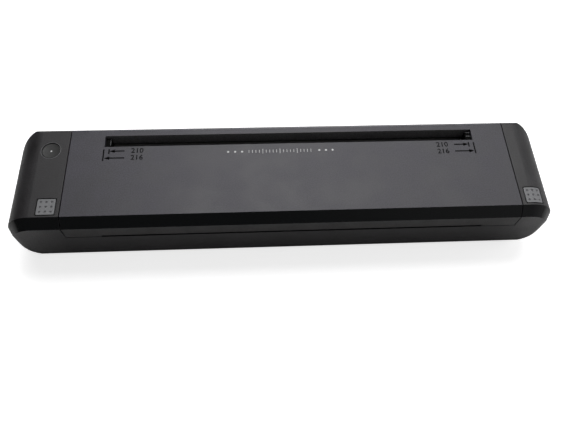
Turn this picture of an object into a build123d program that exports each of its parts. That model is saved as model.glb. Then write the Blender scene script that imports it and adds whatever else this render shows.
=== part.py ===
"""Portable thermal printer for A4 paper, as its separate pieces.

Millimetres. +X runs along the printer to its right end, +Y to its back and +Z up.
The origin is on the table, under the middle of the casing.
"""

from build123d import *
import math
import os

# ---- driving sizes: the casing ----
cover_opening = 256.0  # length of the opening that the cover closes
left_end_length = 31.0  # fixed end that holds the motor and the power key
right_end_length = 21.0
body_depth = 63.3
body_height = 40.0  # from the table to the top face
foot_height = 1.5
wall = 2.0
end_top_radius = 15.0  # the top rolls down at each end
end_bottom_radius = 16.0
front_corner_radius = 6.5  # in plan
back_corner_radius = 17.0
back_top_radius = 3.0
bottom_edge_radius = 3.0
band_leg = 5.2  # bevelled band along the top front edge
band_end_leg = 3.0  # the bevel narrows to this down the ends
base_seam_height = 6.5  # the bottom tray meets the housing here
front_seam_height = 24.8  # lower edge of the cover, where the paper comes out
seam_gap = 0.55  # visible line round the cover
tray_seam_gap = 0.15
boss_radius = 2.6
boss_from_opening = 5.2  # tray screws of the ends, from the cover's opening
boss_from_walls = 4.4
middle_boss_reach = 60.0
post_top = 17.0
foot_radius = 5.0
foot_recess = 0.8
foot_from_ends = 32.0
foot_from_faces = 11.65

# ---- driving sizes: paper path ----
paper_half = 108.0  # half of the widest paper, 216 mm
narrow_paper_half = 105.0  # half of A4, 210 mm
slot_depth = 7.54
slot_from_back = 5.98
exit_notch_height = 1.2
chute_thickness = 1.8
chute_from_platen = 15.5  # the lower guide starts this far behind the platen's axis
chute_heights = (24.3, 31.52)  # of its surface, at its start and at its rear end
chute_past_slot = 1.3
upper_guide_thickness = 1.5
upper_guide_from_platen = 6.5
upper_guide_heights = (25.9, 32.05)  # of its underside, at both ends
upper_pad_top = 31.8  # where the upper guide meets the cover's bosses
upper_boss_from_end = 14.8
upper_boss_reach = (20.0, 80.0)  # from the paper's middle
guide_foot = (33.9, 36.4)  # sliding foot of each width guide, from its underside to its top
guide_foot_length = 9.5
rail_from_end = 6.5
rail_thickness = 1.2
rail_span = (97.5, 112.5)
guide_foot_z = (6.0, 7.6)  # feet of the lower guide
guide_screw_from_chute = 18.0
sensor_width = 6.0
sensor_depth = 4.0
sensor_from_platen = 18.0

# ---- driving sizes: platen, head and gears ----
platen_radius = 5.5
platen_from_front = 12.65
platen_height = 30.6
platen_overhang = 1.0  # rubber beyond the widest paper
shaft_radius = 2.5
bush_radius = 4.0
bush_length = 4.8
nip_gap = 0.15
head_overhang = 2.0
head_plate_thickness = 3.2
element_thickness = 0.75
element_ridge = 0.1
gear_module = 0.5
platen_teeth = 25
idler_small_teeth = 16
idler_large_teeth = 40
pinion_teeth = 12
gear_width = 3.2
tooth_backlash = 0.07
idler_shaft_radius = 1.5
motor_shaft_radius = 1.0
motor_radius = 10.0
motor_length = 16.5
motor_ear = 12.0  # from the motor's axis to each of its screws
flange_thickness = 1.1
plate_gear_gap = 1.5
head_front_reach = 6.0  # head plate ahead of the platen's axis
head_back_reach = 12.0
ear_span = (96.0, 100.0)  # ears of the head plate, from the paper's middle
pivot_reach = 15.0  # the head tilts on a rod this far behind the platen
pivot_z = 19.0
pivot_radius = 1.5
web_z = 7.5  # underside of the chassis
chassis_hole_reach = 75.0
chassis_hole_places = (-2.0, 11.0)  # behind the platen's axis
spring_reach = (30.0, 90.0)  # head springs, from the paper's middle
spring_behind_platen = 2.0
switch_z = 20.6  # top of the cover's switch
switch_from_pivot = 9.0
cable_width = 18.0
cable_thickness = 0.3
idler_angle = -75.0  # from the platen's axis to the idler's, in degrees above +Y
pinion_angle = -10.0  # from the idler's axis to the motor's

# ---- driving sizes: hinge and latches ----
hinge_from_faces = 4.0  # the hinge axis lies this far inside the back and the top
hinge_pin_radius = 1.25
hinge_boss_radius = 3.4
skirt_radius = 5.0
pad_size = 9.6
pad_radius = 0.7
pad_gap = 0.5
pad_from_seam = 2.5
pad_from_front = 6.7
pad_travel = 2.0
key_radius = 5.0
key_gap = 0.25
key_travel = 0.8
key_from_left = 21.2
key_from_back = 15.2
lamp_radius = 0.45
plunger_z = (33.0, 35.0)
key_board_z = (29.5, 30.7)
latch_z = (21.5, 24.5)
latch_half = 3.0  # half of the bar's width in Y
ramp_height = 6.0
closed_spring = 3.3  # length of the latch's spring with the pad pressed
leg_half = 1.5  # half of the pad leg's width in Y

# ---- driving sizes: battery and main board ----
cell_radius = 9.2
cell_length = 65.0
cell_gap = 0.6
cell_from_back = 13.5
holder_floor = 1.1
holder_wall = 1.2
holder_end_room = 1.95
holder_side_room = 1.8
board_length = 48.0
board_depth = 28.0
board_z = (7.0, 8.2)
board_from_back = 1.6
board_from_rib = 2.7  # to the rib under the lower guide
board_from_holder = 1.5
post_inset = 2.5
front_post_inset = 12.5  # clear of the connectors along the board's front
battery_board_start = 37.0  # from the holder's left end
battery_board_length = 50.0
lead_radius = 0.8
lead_gap = 0.85  # from the battery board's chips to the motor's lead
lead_room = (1.0, 3.6)  # opening for the lead, ahead of and behind its middle
usb_size = (8.94, 7.35, 3.26)
usb_from_board = 24.0
reset_from_board = 12.0
cable_from_board = 15.0

# ---- driving sizes: clearances and fasteners ----
running_gap = 0.05  # radial, round shafts and pins
slide_gap = 0.2
touch_gap = 0.1
sheet_thickness = 1.5  # steel of the chassis
screw_radius = 1.25
screw_head_radius = 2.3
screw_head_height = 1.4

# ---- derived places ----
body_length = left_end_length + cover_opening + right_end_length
paper_x = (left_end_length - right_end_length) / 2
front = -body_depth / 2
back = body_depth / 2
top = body_height
floor = foot_height
inner_floor = floor + wall
inner_top = top - wall
inner_front = front + wall
inner_back = back - wall
opening_half = cover_opening / 2
cover_half = opening_half - seam_gap
hinge_y = back - hinge_from_faces
hinge_z = top - hinge_from_faces
slot_back = back - slot_from_back
slot_front = slot_back - slot_depth
platen_y = front + platen_from_front
platen_z = platen_height
nip_z = platen_z - platen_radius

# ---- derived places: pads, key and latches ----
cheek = (opening_half, opening_half + wall)  # inner walls beside the cover, from the paper's middle
pad_y = front + pad_from_front + pad_size / 2
pad_middle = opening_half + pad_from_seam + pad_size / 2  # from the paper's middle
key_x = -body_length / 2 + key_from_left
key_y = back - key_from_back
key_board = ((key_x - 7.2, key_x + 6.3), (key_y - 6.5, key_y + 7.0))
key_board_posts = [(key_x - 5.9, key_y - 5.4), (key_x + 5.4, key_y + 5.7)]
ramp_start = cheek[1] + 4.2
latch_end = ramp_start + ramp_height + 1.0
nose_tip = opening_half - touch_gap
leg_span = (ramp_start + 2.2, ramp_start + 5.4)
spring_room = closed_spring + pad_travel

# ---- derived places: chassis and drive ----
lug = (paper_half + platen_overhang + 0.6, paper_half + platen_overhang + 2.6)
lug_radius = bush_radius + 1.2
side_plate = (lug[1] + 0.4, lug[1] + 0.4 + sheet_thickness)
idler_reach = gear_module * (platen_teeth + idler_small_teeth) / 2
idler_y = platen_y + idler_reach * math.cos(math.radians(idler_angle))
idler_z = platen_z + idler_reach * math.sin(math.radians(idler_angle))
pinion_reach = gear_module * (idler_large_teeth + pinion_teeth) / 2
motor_y = idler_y + pinion_reach * math.cos(math.radians(pinion_angle))
motor_z = idler_z + pinion_reach * math.sin(math.radians(pinion_angle))
small_gear = (side_plate[1] + plate_gear_gap, side_plate[1] + plate_gear_gap + gear_width + 1.0)
large_gear = (small_gear[1], small_gear[1] + gear_width)
shaft_end = small_gear[1] - 0.6
pivot_y = platen_y + pivot_reach
head_half = paper_half + head_overhang
head_top = nip_z - nip_gap - element_ridge - element_thickness  # top of the head's plate
head_bottom = head_top - head_plate_thickness
web_top = web_z + sheet_thickness
chassis_holes = [
    (paper_x + side * chassis_hole_reach, platen_y + behind)
    for side in (-1, 1)
    for behind in chassis_hole_places
]
spring_places = [
    (paper_x + side * reach, platen_y + spring_behind_platen) for side in (-1, 1) for reach in spring_reach
]
switch_x = paper_x + side_plate[1] + 3.0
switch_y = pivot_y - switch_from_pivot

# ---- derived places: paper path ----
paper_span = (paper_x - paper_half, paper_x + paper_half)
chute_y = platen_y + chute_from_platen
chute_end = slot_back + chute_past_slot
upper_y = platen_y + upper_guide_from_platen
upper_end = slot_front - 0.35
upper_boss_y = upper_end - upper_boss_from_end
upper_bosses = [(paper_x + side * reach, upper_boss_y) for side in (-1, 1) for reach in upper_boss_reach]
guide_foot_y = (upper_end - guide_foot_length, upper_end)
rail_y = (upper_end - rail_from_end, upper_end - rail_from_end + rail_thickness)
guide_rib = (side_plate[0] - 2.3, side_plate[0] - 0.5)  # ribs under the lower guide
sensor_x = (paper_x - sensor_width / 2, paper_x + sensor_width / 2)
sensor_y = (platen_y + sensor_from_platen, platen_y + sensor_from_platen + sensor_depth)

# ---- derived places: tray, battery and main board ----
boss_y = (inner_front + boss_from_walls, inner_back - boss_from_walls)
tray_bosses = [(paper_x + side * (opening_half + boss_from_opening), y) for side in (-1, 1) for y in boss_y]
tray_bosses += [(paper_x + side * middle_boss_reach, boss_y[0]) for side in (-1, 1)]
foot_places = [
    (side * (body_length / 2 - foot_from_ends), face * (body_depth / 2 - foot_from_faces))
    for side in (-1, 1)
    for face in (-1, 1)
]
board_end = paper_x + guide_rib[0] - board_from_rib
board_x = (board_end - board_length, board_end)
board_y = (inner_back - board_from_back - board_depth, inner_back - board_from_back)
board_top = board_z[1]
board_posts = [
    (x, y)
    for x in (board_x[0] + post_inset, board_x[1] - post_inset)
    for y in (board_y[0] + front_post_inset, board_y[1] - post_inset)
]
usb_x = board_x[0] + usb_from_board
usb_z = board_top + usb_size[2] / 2
reset_x = board_x[0] + reset_from_board
cable_x = (board_x[0] + cable_from_board, board_x[0] + cable_from_board + cable_width)
cell_y = inner_back - cell_from_back
cell_z = inner_floor + holder_floor + touch_gap + cell_radius
holder_length = 2 * (cell_length + holder_end_room) + cell_gap
holder_x = (board_x[0] - board_from_holder - holder_length, board_x[0] - board_from_holder)
holder_half = cell_radius + holder_side_room
holder_y = (cell_y - holder_half, cell_y + holder_half)
cell_starts = [holder_x[0] + holder_end_room + place * (cell_length + cell_gap) for place in (0, 1)]
battery_board_end = holder_x[0] + battery_board_start + battery_board_length
battery_board_x = (battery_board_end - battery_board_length, battery_board_end)
lead_middle = holder_y[0] - 2.1 - lead_gap - lead_radius  # ahead of the battery board's chips
lead_y = (lead_middle - lead_room[0], lead_middle + lead_room[1])
all_x = (-body_length, body_length)
all_y = (-body_depth, body_depth)


# ---- small builders ----
def block(x, y, z):
    """A box between two values along each axis."""
    size = Box(x[1] - x[0], y[1] - y[0], z[1] - z[0])
    return Pos((x[0] + x[1]) / 2, (y[0] + y[1]) / 2, (z[0] + z[1]) / 2) * size


def rod_x(x, y, z, radius):
    return Pos((x[0] + x[1]) / 2, y, z) * Rot(0, 90, 0) * Cylinder(radius, abs(x[1] - x[0]))


def rod_y(x, y, z, radius):
    return Pos(x, (y[0] + y[1]) / 2, z) * Rot(90, 0, 0) * Cylinder(radius, abs(y[1] - y[0]))


def rod_z(x, y, z, radius):
    return Pos(x, y, (z[0] + z[1]) / 2) * Cylinder(radius, abs(z[1] - z[0]))


def prism_x(x, points):
    """A (y, z) outline carried along X."""
    return extrude(Plane.YZ.offset(x[0]) * make_face(Polyline(*points, close=True)), x[1] - x[0])


def prism_y(y, points):
    """An (x, z) outline carried along Y."""
    outline = Plane.XZ.offset(-y[0]) * make_face(Polyline(*points, close=True))
    return extrude(outline, y[0] - y[1])


def rounded_post(x, y, z, radius):
    """An upright block with rounded corners."""
    outline = Pos((x[0] + x[1]) / 2, (y[0] + y[1]) / 2) * RectangleRounded(x[1] - x[0], y[1] - y[0], radius)
    return extrude(Plane.XY.offset(z[0]) * outline, z[1] - z[0])


def along(side, near, far):
    """X range between two distances from the paper's middle, on one side of it."""
    ends = (paper_x + side * near, paper_x + side * far)
    return (min(ends), max(ends))


def group(*pieces):
    """Several loose solids in one node."""
    solids = [solid for piece in pieces for solid in piece.solids()]
    return Compound(children=solids)


# ---- casing ----
def end_outline(inset, side_draw, top_draw, turn_radius):
    """XZ outline of the casing, drawn in at both ends and along the top."""
    half = body_length / 2 - inset - side_draw
    base, crown = floor + inset, top - inset - top_draw
    upper, lower = turn_radius - inset, end_bottom_radius - inset
    diagonal = math.sqrt(0.5)
    edges = []
    for side in (1, -1):
        low_middle = (side * (half - lower + lower * diagonal), base + lower - lower * diagonal)
        high_middle = (side * (half - upper + upper * diagonal), crown - upper + upper * diagonal)
        low_start, low_end = (side * (half - lower), base), (side * half, base + lower)
        high_start, high_end = (side * half, crown - upper), (side * (half - upper), crown)
        arcs = [
            ThreePointArc(low_start, low_middle, low_end),
            Line(low_end, high_start),
            ThreePointArc(high_start, high_middle, high_end),
        ]
        if side > 0:
            edges += arcs + [Line(high_end, (-high_end[0], crown))]
            continue
        edges += [
            ThreePointArc(high_end, high_middle, high_start),
            Line(high_start, low_end),
            ThreePointArc(low_end, low_middle, low_start),
            Line(low_start, (-low_start[0], base)),
        ]
    return make_face(Wire(edges))


def body_form(inset):
    """The closed printer's outer form, drawn in by inset on every side."""
    length, depth = body_length - 2 * inset, body_depth - 2 * inset
    low, high = floor + inset, top - inset
    plan = Rectangle(length, depth)
    plan = fillet(plan.vertices().group_by(Axis.Y)[0], front_corner_radius - inset)
    plan = fillet(plan.vertices().group_by(Axis.Y)[-1], back_corner_radius - inset)
    form = extrude(Plane.XY.offset(low) * plan, high - low)

    side = Rectangle(depth, high - low)
    side = fillet(side.vertices().group_by(Axis.Y)[0], max(bottom_edge_radius - inset, 0.5))
    rear_top = side.vertices().group_by(Axis.Y)[-1].sort_by(Axis.X)[-1]
    side = fillet(rear_top, max(back_top_radius - inset, 0.5))
    form &= extrude(Plane.YZ * Pos(0, (low + high) / 2) * side, body_length, both=True)

    evener = 2 - math.sqrt(2)  # keeps the wall even behind the band
    top_leg, end_leg = band_leg - inset * evener, band_end_leg - inset * evener
    band_start = front + inset + top_leg
    rolled = Plane.XZ.offset(-band_start) * end_outline(inset, 0, 0, end_top_radius)
    turn_radius = end_top_radius - end_leg
    drawn_in = Plane.XZ.offset(-front - inset) * end_outline(inset, end_leg, top_leg, turn_radius)
    behind = extrude(rolled, -body_depth)
    bevel = loft([rolled, drawn_in], ruled=True)
    return form & (behind + bevel)


def cover_zone(gap):
    """Space of the cover: gap is the width of the line left round it."""
    x = (paper_x - opening_half + gap, paper_x + opening_half - gap)
    radius = skirt_radius if gap else skirt_radius + slide_gap + touch_gap
    bottom = front_seam_height + (gap / 2 if gap else -seam_gap / 2)
    ahead = block(x, (front - 1, hinge_y), (bottom, top + 1))
    above = block(x, (hinge_y, back + 1), (hinge_z, top + 1))
    return ahead + above + rod_x(x, hinge_y, hinge_z, radius)


outer_form = body_form(0)
shell = outer_form - body_form(wall)


def chute_z(y):
    """Height of the lower paper guide's surface."""
    low, high = chute_heights
    return low + (high - low) * (y - chute_y) / (chute_end - chute_y)


def upper_z(y):
    """Height of the upper paper guide's underside."""
    low, high = upper_guide_heights
    return low + (high - low) * (y - upper_y) / (upper_end - upper_y)


def crown_z(x):
    """Height of the casing's top at x, on the rolled ends too."""
    centre = body_length / 2 - end_top_radius
    beyond = max(abs(x) - centre, 0.0)
    return top - end_top_radius + math.sqrt(end_top_radius**2 - beyond**2)


def guide_screw(side):
    return paper_x + side * (side_plate[0] + 3.5), chute_y + guide_screw_from_chute


# ---- fixed casing ----
def upper_housing():
    """Walls and both ends in one moulding, open below and under the cover."""
    seam = base_seam_height + tray_seam_gap
    body = shell & block(all_x, all_y, (seam, top + 1))
    body -= cover_zone(0)
    for side in (-1, 1):
        body += outer_form & block(along(side, *cheek), all_y, (seam, top + 1))
    ledge_y = (inner_front - 0.5, platen_y - head_front_reach - 0.8)
    body += block(paper_span, ledge_y, (nip_z - 2.2, nip_z - 0.7))
    for x, y in tray_bosses:
        body += rod_z(x, y, (seam, post_top), boss_radius)
        wall_y = (front + 0.5, y) if y < 0 else (y, back - 0.5)
        body += block((x - 1.0, x + 1.0), wall_y, (seam, post_top))
        body -= rod_z(x, y, (seam - 1, post_top - 1.5), screw_radius)
    for side in (-1, 1):
        body += latch_channel(side)
        body -= latch_window(side)
        body -= pad_well(side, pad_gap)
        body -= rod_x(along(side, cheek[0] - 1, cheek[1] + 1), hinge_y, hinge_z, hinge_pin_radius + 0.02)
    body -= rod_z(key_x, key_y, (inner_top - 1, top + 1), key_radius + key_gap)
    for x, y in key_board_posts:
        body += rod_z(x, y, (key_board_z[1], inner_top + 0.5), 1.8)
        body -= rod_z(x, y, (key_board_z[1] - 1, inner_top - 1.5), 0.8)
    body -= rod_x(along(-1, cheek[0] - 1, cheek[1] + 1), motor_y, motor_z, 4.0)
    for offset in (-motor_ear, motor_ear):
        body -= rod_x(along(-1, cheek[0] - 1, cheek[1] + 1), motor_y, motor_z + offset, 0.9)
    body -= block(along(-1, cheek[0] - 1, cheek[1] + 1), lead_y, (seam - 1, seam + 3.0))
    port = Plane.XZ.offset(-inner_back + 1) * Pos(usb_x, usb_z) * RectangleRounded(9.4, 3.7, 1.6)
    body -= extrude(port, -wall - 2)
    body -= rod_y(reset_x, (inner_back - 1, back + 1), usb_z, 0.8)
    return body


def base_tray():
    """Bottom tray, with its lip, bosses, posts and foot recesses."""
    seam = base_seam_height
    tray = shell & block(all_x, all_y, (0, seam))
    outer_lip, inner_lip = body_form(wall + touch_gap), body_form(wall + touch_gap + 1.2)
    lip = (outer_lip - inner_lip) & block(all_x, all_y, (seam - 0.5, seam + 1.5))
    root = (body_form(wall - 0.3) - inner_lip) & block(all_x, all_y, (seam - 1.6, seam))
    lip += root
    for side in (-1, 1):
        lip -= block(along(side, cheek[0] - 0.3, cheek[1] + 0.3), all_y, (seam, seam + 3))
    for x, y in tray_bosses:
        reach = boss_radius + 0.4
        lip -= block((x - reach, x + reach), all_y, (seam, seam + 3))
    tray += lip
    for x, y in tray_bosses:
        tray += rod_z(x, y, (inner_floor - 0.5, seam), boss_radius)
        tray -= rod_z(x, y, (0, seam + 1), screw_radius + 0.2)
        tray -= rod_z(x, y, (0, floor + 1.9), screw_head_radius + 0.2)
    for x, y in chassis_holes:
        tray += rod_z(x, y, (inner_floor - 0.5, web_z), 3.0)
        tray -= rod_z(x, y, (inner_floor + 0.2, web_z + 1), screw_radius)
    for x, y in board_posts:
        tray += rod_z(x, y, (inner_floor - 0.5, board_z[0]), 2.2)
        tray -= rod_z(x, y, (inner_floor + 0.2, board_z[0] + 1), 0.9)
    for side in (-1, 1):
        x, y = guide_screw(side)
        tray += rod_z(x, y, (inner_floor - 0.5, guide_foot_z[0]), 2.6)
        tray -= rod_z(x, y, (inner_floor + 0.2, guide_foot_z[0] + 1), screw_radius)
    for x, y in foot_places:
        tray -= rod_z(x, y, (floor - 1, floor + foot_recess), foot_radius + touch_gap)
    return tray


def machine_screw(x, y, z, length, head_up, shank=screw_radius, head=screw_head_radius):
    """Pan-head screw: z is under its head, and head_up says which way the head lies."""
    way = 1 if head_up else -1
    ends = sorted((z, z + way * screw_head_height))
    cap = rod_z(x, y, ends, head)
    rim = cap.edges().filter_by(GeomType.CIRCLE).group_by(Axis.Z)[-1 if head_up else 0]
    cap = fillet(rim, screw_head_height * 0.4)
    outer_end = z + way * screw_head_height
    for turn in (0, 90):
        slot = Pos(x, y, outer_end) * Rot(0, 0, turn) * Box(head * 1.1, head * 0.28, screw_head_height * 0.9)
        cap -= slot
    return cap + rod_z(x, y, sorted((z, z - way * length)), shank - 0.02)


def rubber_feet():
    feet = []
    for x, y in foot_places:
        foot = rod_z(x, y, (0, floor + foot_recess), foot_radius)
        feet.append(fillet(foot.edges().filter_by(GeomType.CIRCLE).group_by(Axis.Z)[0], 0.5))
    return group(*feet)


def hinge_pins():
    """Pins with a head against each inner wall of the ends."""
    pins = []
    for side in (-1, 1):
        pin = rod_x(along(side, cover_half - 7.0, cheek[1] + 0.1), hinge_y, hinge_z, hinge_pin_radius)
        head = rod_x(along(side, cheek[1] + 0.05, cheek[1] + 1.1), hinge_y, hinge_z, 1.9)
        pins.append(pin + head)
    return group(*pins)


# ---- cover ----
def top_cover():
    """Moulded lid: top, band, upper front, rear skirt, slot, lugs, bosses and catches."""
    zone = cover_zone(seam_gap)
    lid = shell & zone
    for side in (-1, 1):
        rib = block(along(side, cover_half - 1.8, cover_half), all_y, (30.0, top + 1))
        lid += outer_form & zone & rib
        lid += rod_x(along(side, cover_half - 8.0, cover_half), hinge_y, hinge_z, hinge_boss_radius)
        lid += lid_catch(side)
        arm = block(along(side, *lug), (platen_y - lug_radius, platen_y + lug_radius), (platen_z, top + 1))
        lid += outer_form & arm
        lid += rod_x(along(side, *lug), platen_y, platen_z, lug_radius)
        lid -= rod_x(along(side, lug[0] - 1, lug[1] + 1), platen_y, platen_z, bush_radius + 0.02)
        bore = hinge_pin_radius + running_gap
        lid -= rod_x(along(side, cover_half - 9.0, cover_half + 1), hinge_y, hinge_z, bore)
        lid += block(along(side, rail_span[0], rail_span[1]), rail_y, (guide_foot[1] - 1.8, inner_top + 0.5))
    for x, y in upper_bosses:
        lid += rod_z(x, y, (upper_pad_top, inner_top + 0.5), 2.6)
        lid -= rod_z(x, y, (upper_pad_top - 1, inner_top - 1.5), 1.0)
    lid += block(paper_span, (slot_front - 1.2, slot_front), (guide_foot[1] + slide_gap, inner_top + 0.5))
    lid += block(paper_span, (slot_back, slot_back + 1.2), (inner_top - 5.5, inner_top + 0.5))
    lid -= block(paper_span, (slot_front, slot_back), (inner_top - 6, top + 1))
    low = front_seam_height
    lid -= block(paper_span, (front - 1, inner_front + 1), (low - 1, low + seam_gap / 2 + exit_notch_height))
    finger = rod_z(switch_x, switch_y, (switch_z + 0.4, inner_top + 0.5), 1.2)
    return lid + finger


def lid_catch(side):
    """Tab under the cover, with the window that the latch holds."""
    x = along(side, cover_half - 1.8, cover_half)
    tab = block(x, (pad_y - 4.2, pad_y + 4.2), (latch_z[0] - 1.4, 31.0))
    return tab - block(x, (pad_y - 3.5, pad_y + 3.5), (latch_z[0] - 0.3, latch_z[1] + 0.4))


def upper_paper_guide():
    """Plate over the paper's way to the platen, screwed under the cover."""
    half = lug[0] - 0.4
    low = [(upper_y, upper_z(upper_y)), (upper_end, upper_z(upper_end))]
    high = [(y, z + upper_guide_thickness) for y, z in reversed(low)]
    plate = prism_x((paper_x - half, paper_x + half), low + high)
    for side in (-1, 1):
        ledge_low = (guide_foot_y[0], upper_z(guide_foot_y[0]) + 0.3)
        ledge_high = (upper_end, upper_z(upper_end) + 0.3)
        top_z = guide_foot[0] - touch_gap
        corners = [ledge_low, ledge_high, (upper_end, top_z), (guide_foot_y[0], top_z)]
        plate += prism_x(along(side, rail_span[0], rail_span[1] + 1.0), corners)
    for x, y in upper_bosses:
        plate += rod_z(x, y, (upper_z(y) + 0.6, upper_pad_top), 3.2)
        plate -= rod_z(x, y, (0, upper_pad_top + 1), 1.0)
        plate -= rod_z(x, y, (0, upper_z(y) + 1.9), 2.0)
    return plate


def width_guide(side):
    """Sliding paper stop at one end of the slot."""
    span = (narrow_paper_half, narrow_paper_half + 4.0)
    y = (slot_front + 0.25, slot_back - 0.25)
    low = [(y[0], chute_z(y[0]) + 0.6), (y[1], chute_z(y[1]) + 0.6)]
    paddle = prism_x(along(side, *span), low + [(y[1], inner_top - 0.3), (y[0], inner_top - 0.3)])
    for step in (0.5, 1.5):
        rib_x = along(side, span[0] + step, span[0] + step + 0.5)
        paddle += block(rib_x, (y[0] + 1, y[1] - 1), (inner_top - 0.4, inner_top))
    foot = block(along(side, rail_span[0] + 1.5, span[1]), (guide_foot_y[0], upper_end - 0.15), guide_foot)
    groove_y = (rail_y[0] - 0.15, rail_y[1] + 0.15)
    foot -= block(along(side, rail_span[0], span[1] + 1), groove_y, (guide_foot[1] - 2.0, guide_foot[1] + 1))
    neck = block(along(side, *span), (upper_end - 1.0, y[0] + 1.0), guide_foot)
    return paddle + foot + neck


# ---- release pads, latches and power key ----

def pad_well(side, gap):
    x = along(side, pad_middle - pad_size / 2 - gap, pad_middle + pad_size / 2 + gap)
    y = (pad_y - pad_size / 2 - gap, pad_y + pad_size / 2 + gap)
    return rounded_post(x, y, (inner_top - 6, top + 1), pad_radius + gap)


def release_pad(side):
    """Square pad with nine dimples, its flange, and the wedge that works the latch."""
    low_end = crown_z(paper_x + side * (pad_middle + pad_size / 2 + 0.3)) - wall
    flange_top = min(inner_top, low_end) - 0.9
    pad = pad_well(side, 0) & outer_form & block(all_x, all_y, (flange_top - 1.2, top + 1))
    for column in (-1, 0, 1):
        for line in (-1, 0, 1):
            x, y = paper_x + side * (pad_middle + 3.0 * column), pad_y + 3.0 * line
            pad -= rod_z(x, y, (crown_z(x) - 0.35, top + 1), 0.6)
    x = along(side, pad_middle - pad_size / 2 - 0.3, pad_middle + pad_size / 2 + 0.3)
    y = (pad_y - pad_size / 2 - 1.2, pad_y + pad_size / 2 + 1.2)
    pad += block(x, y, (flange_top - 1.2, flange_top))
    near, far = leg_span
    face = latch_z[1] - ramp_start + slide_gap * math.sqrt(2)
    wedge = [(near, near + face), (far, far + face), (far, flange_top - 0.5), (near, flange_top - 0.5)]
    wedge = [(paper_x + side * reach, z) for reach, z in wedge]
    return pad + prism_y((pad_y - leg_half, pad_y + leg_half), wedge)


def latch_slider(side):
    """Sliding bar with its nose through the inner wall and its ramp under the pad."""
    bar = block(along(side, nose_tip, latch_end), (pad_y - latch_half, pad_y + latch_half), latch_z)
    rise = [
        (ramp_start, latch_z[1] - 0.01),
        (ramp_start + ramp_height, latch_z[1] + ramp_height),
        (latch_end, latch_z[1] + ramp_height),
        (latch_end, latch_z[1] - 0.01),
    ]
    rise = [(paper_x + side * reach, z) for reach, z in rise]
    bar += prism_y((pad_y - leg_half, pad_y + leg_half), rise)
    pilot = (latch_z[0] + latch_z[1]) / 2
    return bar + rod_x(along(side, latch_end - 0.5, latch_end + 1.2), pad_y, pilot, 0.85)


def latch_channel(side):
    """Trough on the inner wall that the latch slides in, with the spring's stop."""
    end = latch_end + spring_room
    half = latch_half + slide_gap
    outer = half + 1.5
    height = (latch_z[0] - 2.0, latch_z[1] + 1.0)
    trough = block(along(side, cheek[1] - 0.5, end + 1.5), (pad_y - outer, pad_y + outer), height)
    height = (latch_z[0] - slide_gap, latch_z[1] + 2.0)
    trough -= block(along(side, cheek[1], end), (pad_y - half, pad_y + half), height)
    return trough & outer_form


def latch_window(side):
    half = latch_half + slide_gap
    height = (latch_z[0] - slide_gap, latch_z[1] + slide_gap)
    return block(along(side, cheek[0] - 1, cheek[1] + 0.5), (pad_y - half, pad_y + half), height)


def latch_spring(side):
    """Compression spring between the latch and its stop."""
    near, length = latch_end + touch_gap, spring_room - 2 * touch_gap
    coil = coil_spring(1.3, 0.25, length, 4.5)
    turn = Rot(0, 90, 0) if side > 0 else Rot(0, -90, 0)
    return Pos(paper_x + side * near, pad_y, (latch_z[0] + latch_z[1]) / 2) * turn * coil


def coil_spring(radius, wire, length, turns):
    """Spring of round wire standing on the origin: radius is to the wire's middle."""
    path = Helix(pitch=(length - 2 * wire) / turns, height=length - 2 * wire, radius=radius)
    start = Plane(origin=path @ 0, z_dir=path % 0)
    return Pos(0, 0, wire) * sweep(start * Circle(wire), path=path, is_frenet=True)


def power_key():
    """Dished round key with its flange and stem."""
    key = rod_z(key_x, key_y, (inner_top - 0.5, top - 0.25), key_radius)
    key = fillet(key.edges().filter_by(GeomType.CIRCLE).group_by(Axis.Z)[-1], 0.35)
    dish_radius = 28.0
    key -= Pos(key_x, key_y, top - 0.75 + dish_radius) * Sphere(dish_radius)
    key += rod_z(key_x, key_y, (inner_top - 1.3, inner_top - touch_gap), key_radius + 0.9)
    key += rod_z(key_x, key_y, (plunger_z[1], inner_top - 1.0), 1.8)
    return key - rod_z(key_x, key_y, (inner_top - 0.4, top + 1), lamp_radius + 0.01)


def key_lamp():
    return rod_z(key_x, key_y, (inner_top - 0.4, top - 0.72), lamp_radius)


def switch_plunger():
    return rod_z(key_x, key_y, plunger_z, 1.6)


def key_switch():
    body = block((key_x - 3, key_x + 3), (key_y - 3, key_y + 3), (key_board_z[1], 34.1))
    body = chamfer(body.edges().group_by(Axis.Z)[-1], 0.3)
    return body - rod_z(key_x, key_y, (plunger_z[0] - key_travel - 0.3, 35), 1.65)


def switch_board():
    plate = block(key_board[0], key_board[1], key_board_z)
    for x, y in key_board_posts:
        plate -= rod_z(x, y, (key_board_z[0] - 1, key_board_z[1] + 1), 0.85)
    plug_z = (key_board_z[0] - 2.6, key_board_z[0])
    plug = block((key_x - 3.5, key_x + 2.5), (key_y - 6.0, key_y - 3.4), plug_z)
    return plate + plug


# ---- platen ----
def platen_shaft():
    return rod_x((paper_x - shaft_end, paper_x + side_plate[1] + 1.1), platen_y, platen_z, shaft_radius)


def platen_roller():
    half = paper_half + platen_overhang
    roller = rod_x((paper_x - half, paper_x + half), platen_y, platen_z, platen_radius)
    roller = chamfer(roller.edges().filter_by(GeomType.CIRCLE), 0.4)
    return roller - rod_x((paper_x - half - 1, paper_x + half + 1), platen_y, platen_z, shaft_radius + 0.01)


def platen_bushes():
    bushes = []
    for side in (-1, 1):
        span = along(side, lug[0] - 0.2, lug[0] - 0.2 + bush_length)
        bush = rod_x(span, platen_y, platen_z, bush_radius)
        bore = shaft_radius + running_gap
        bushes.append(bush - rod_x((span[0] - 1, span[1] + 1), platen_y, platen_z, bore))
    return group(*bushes)


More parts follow.
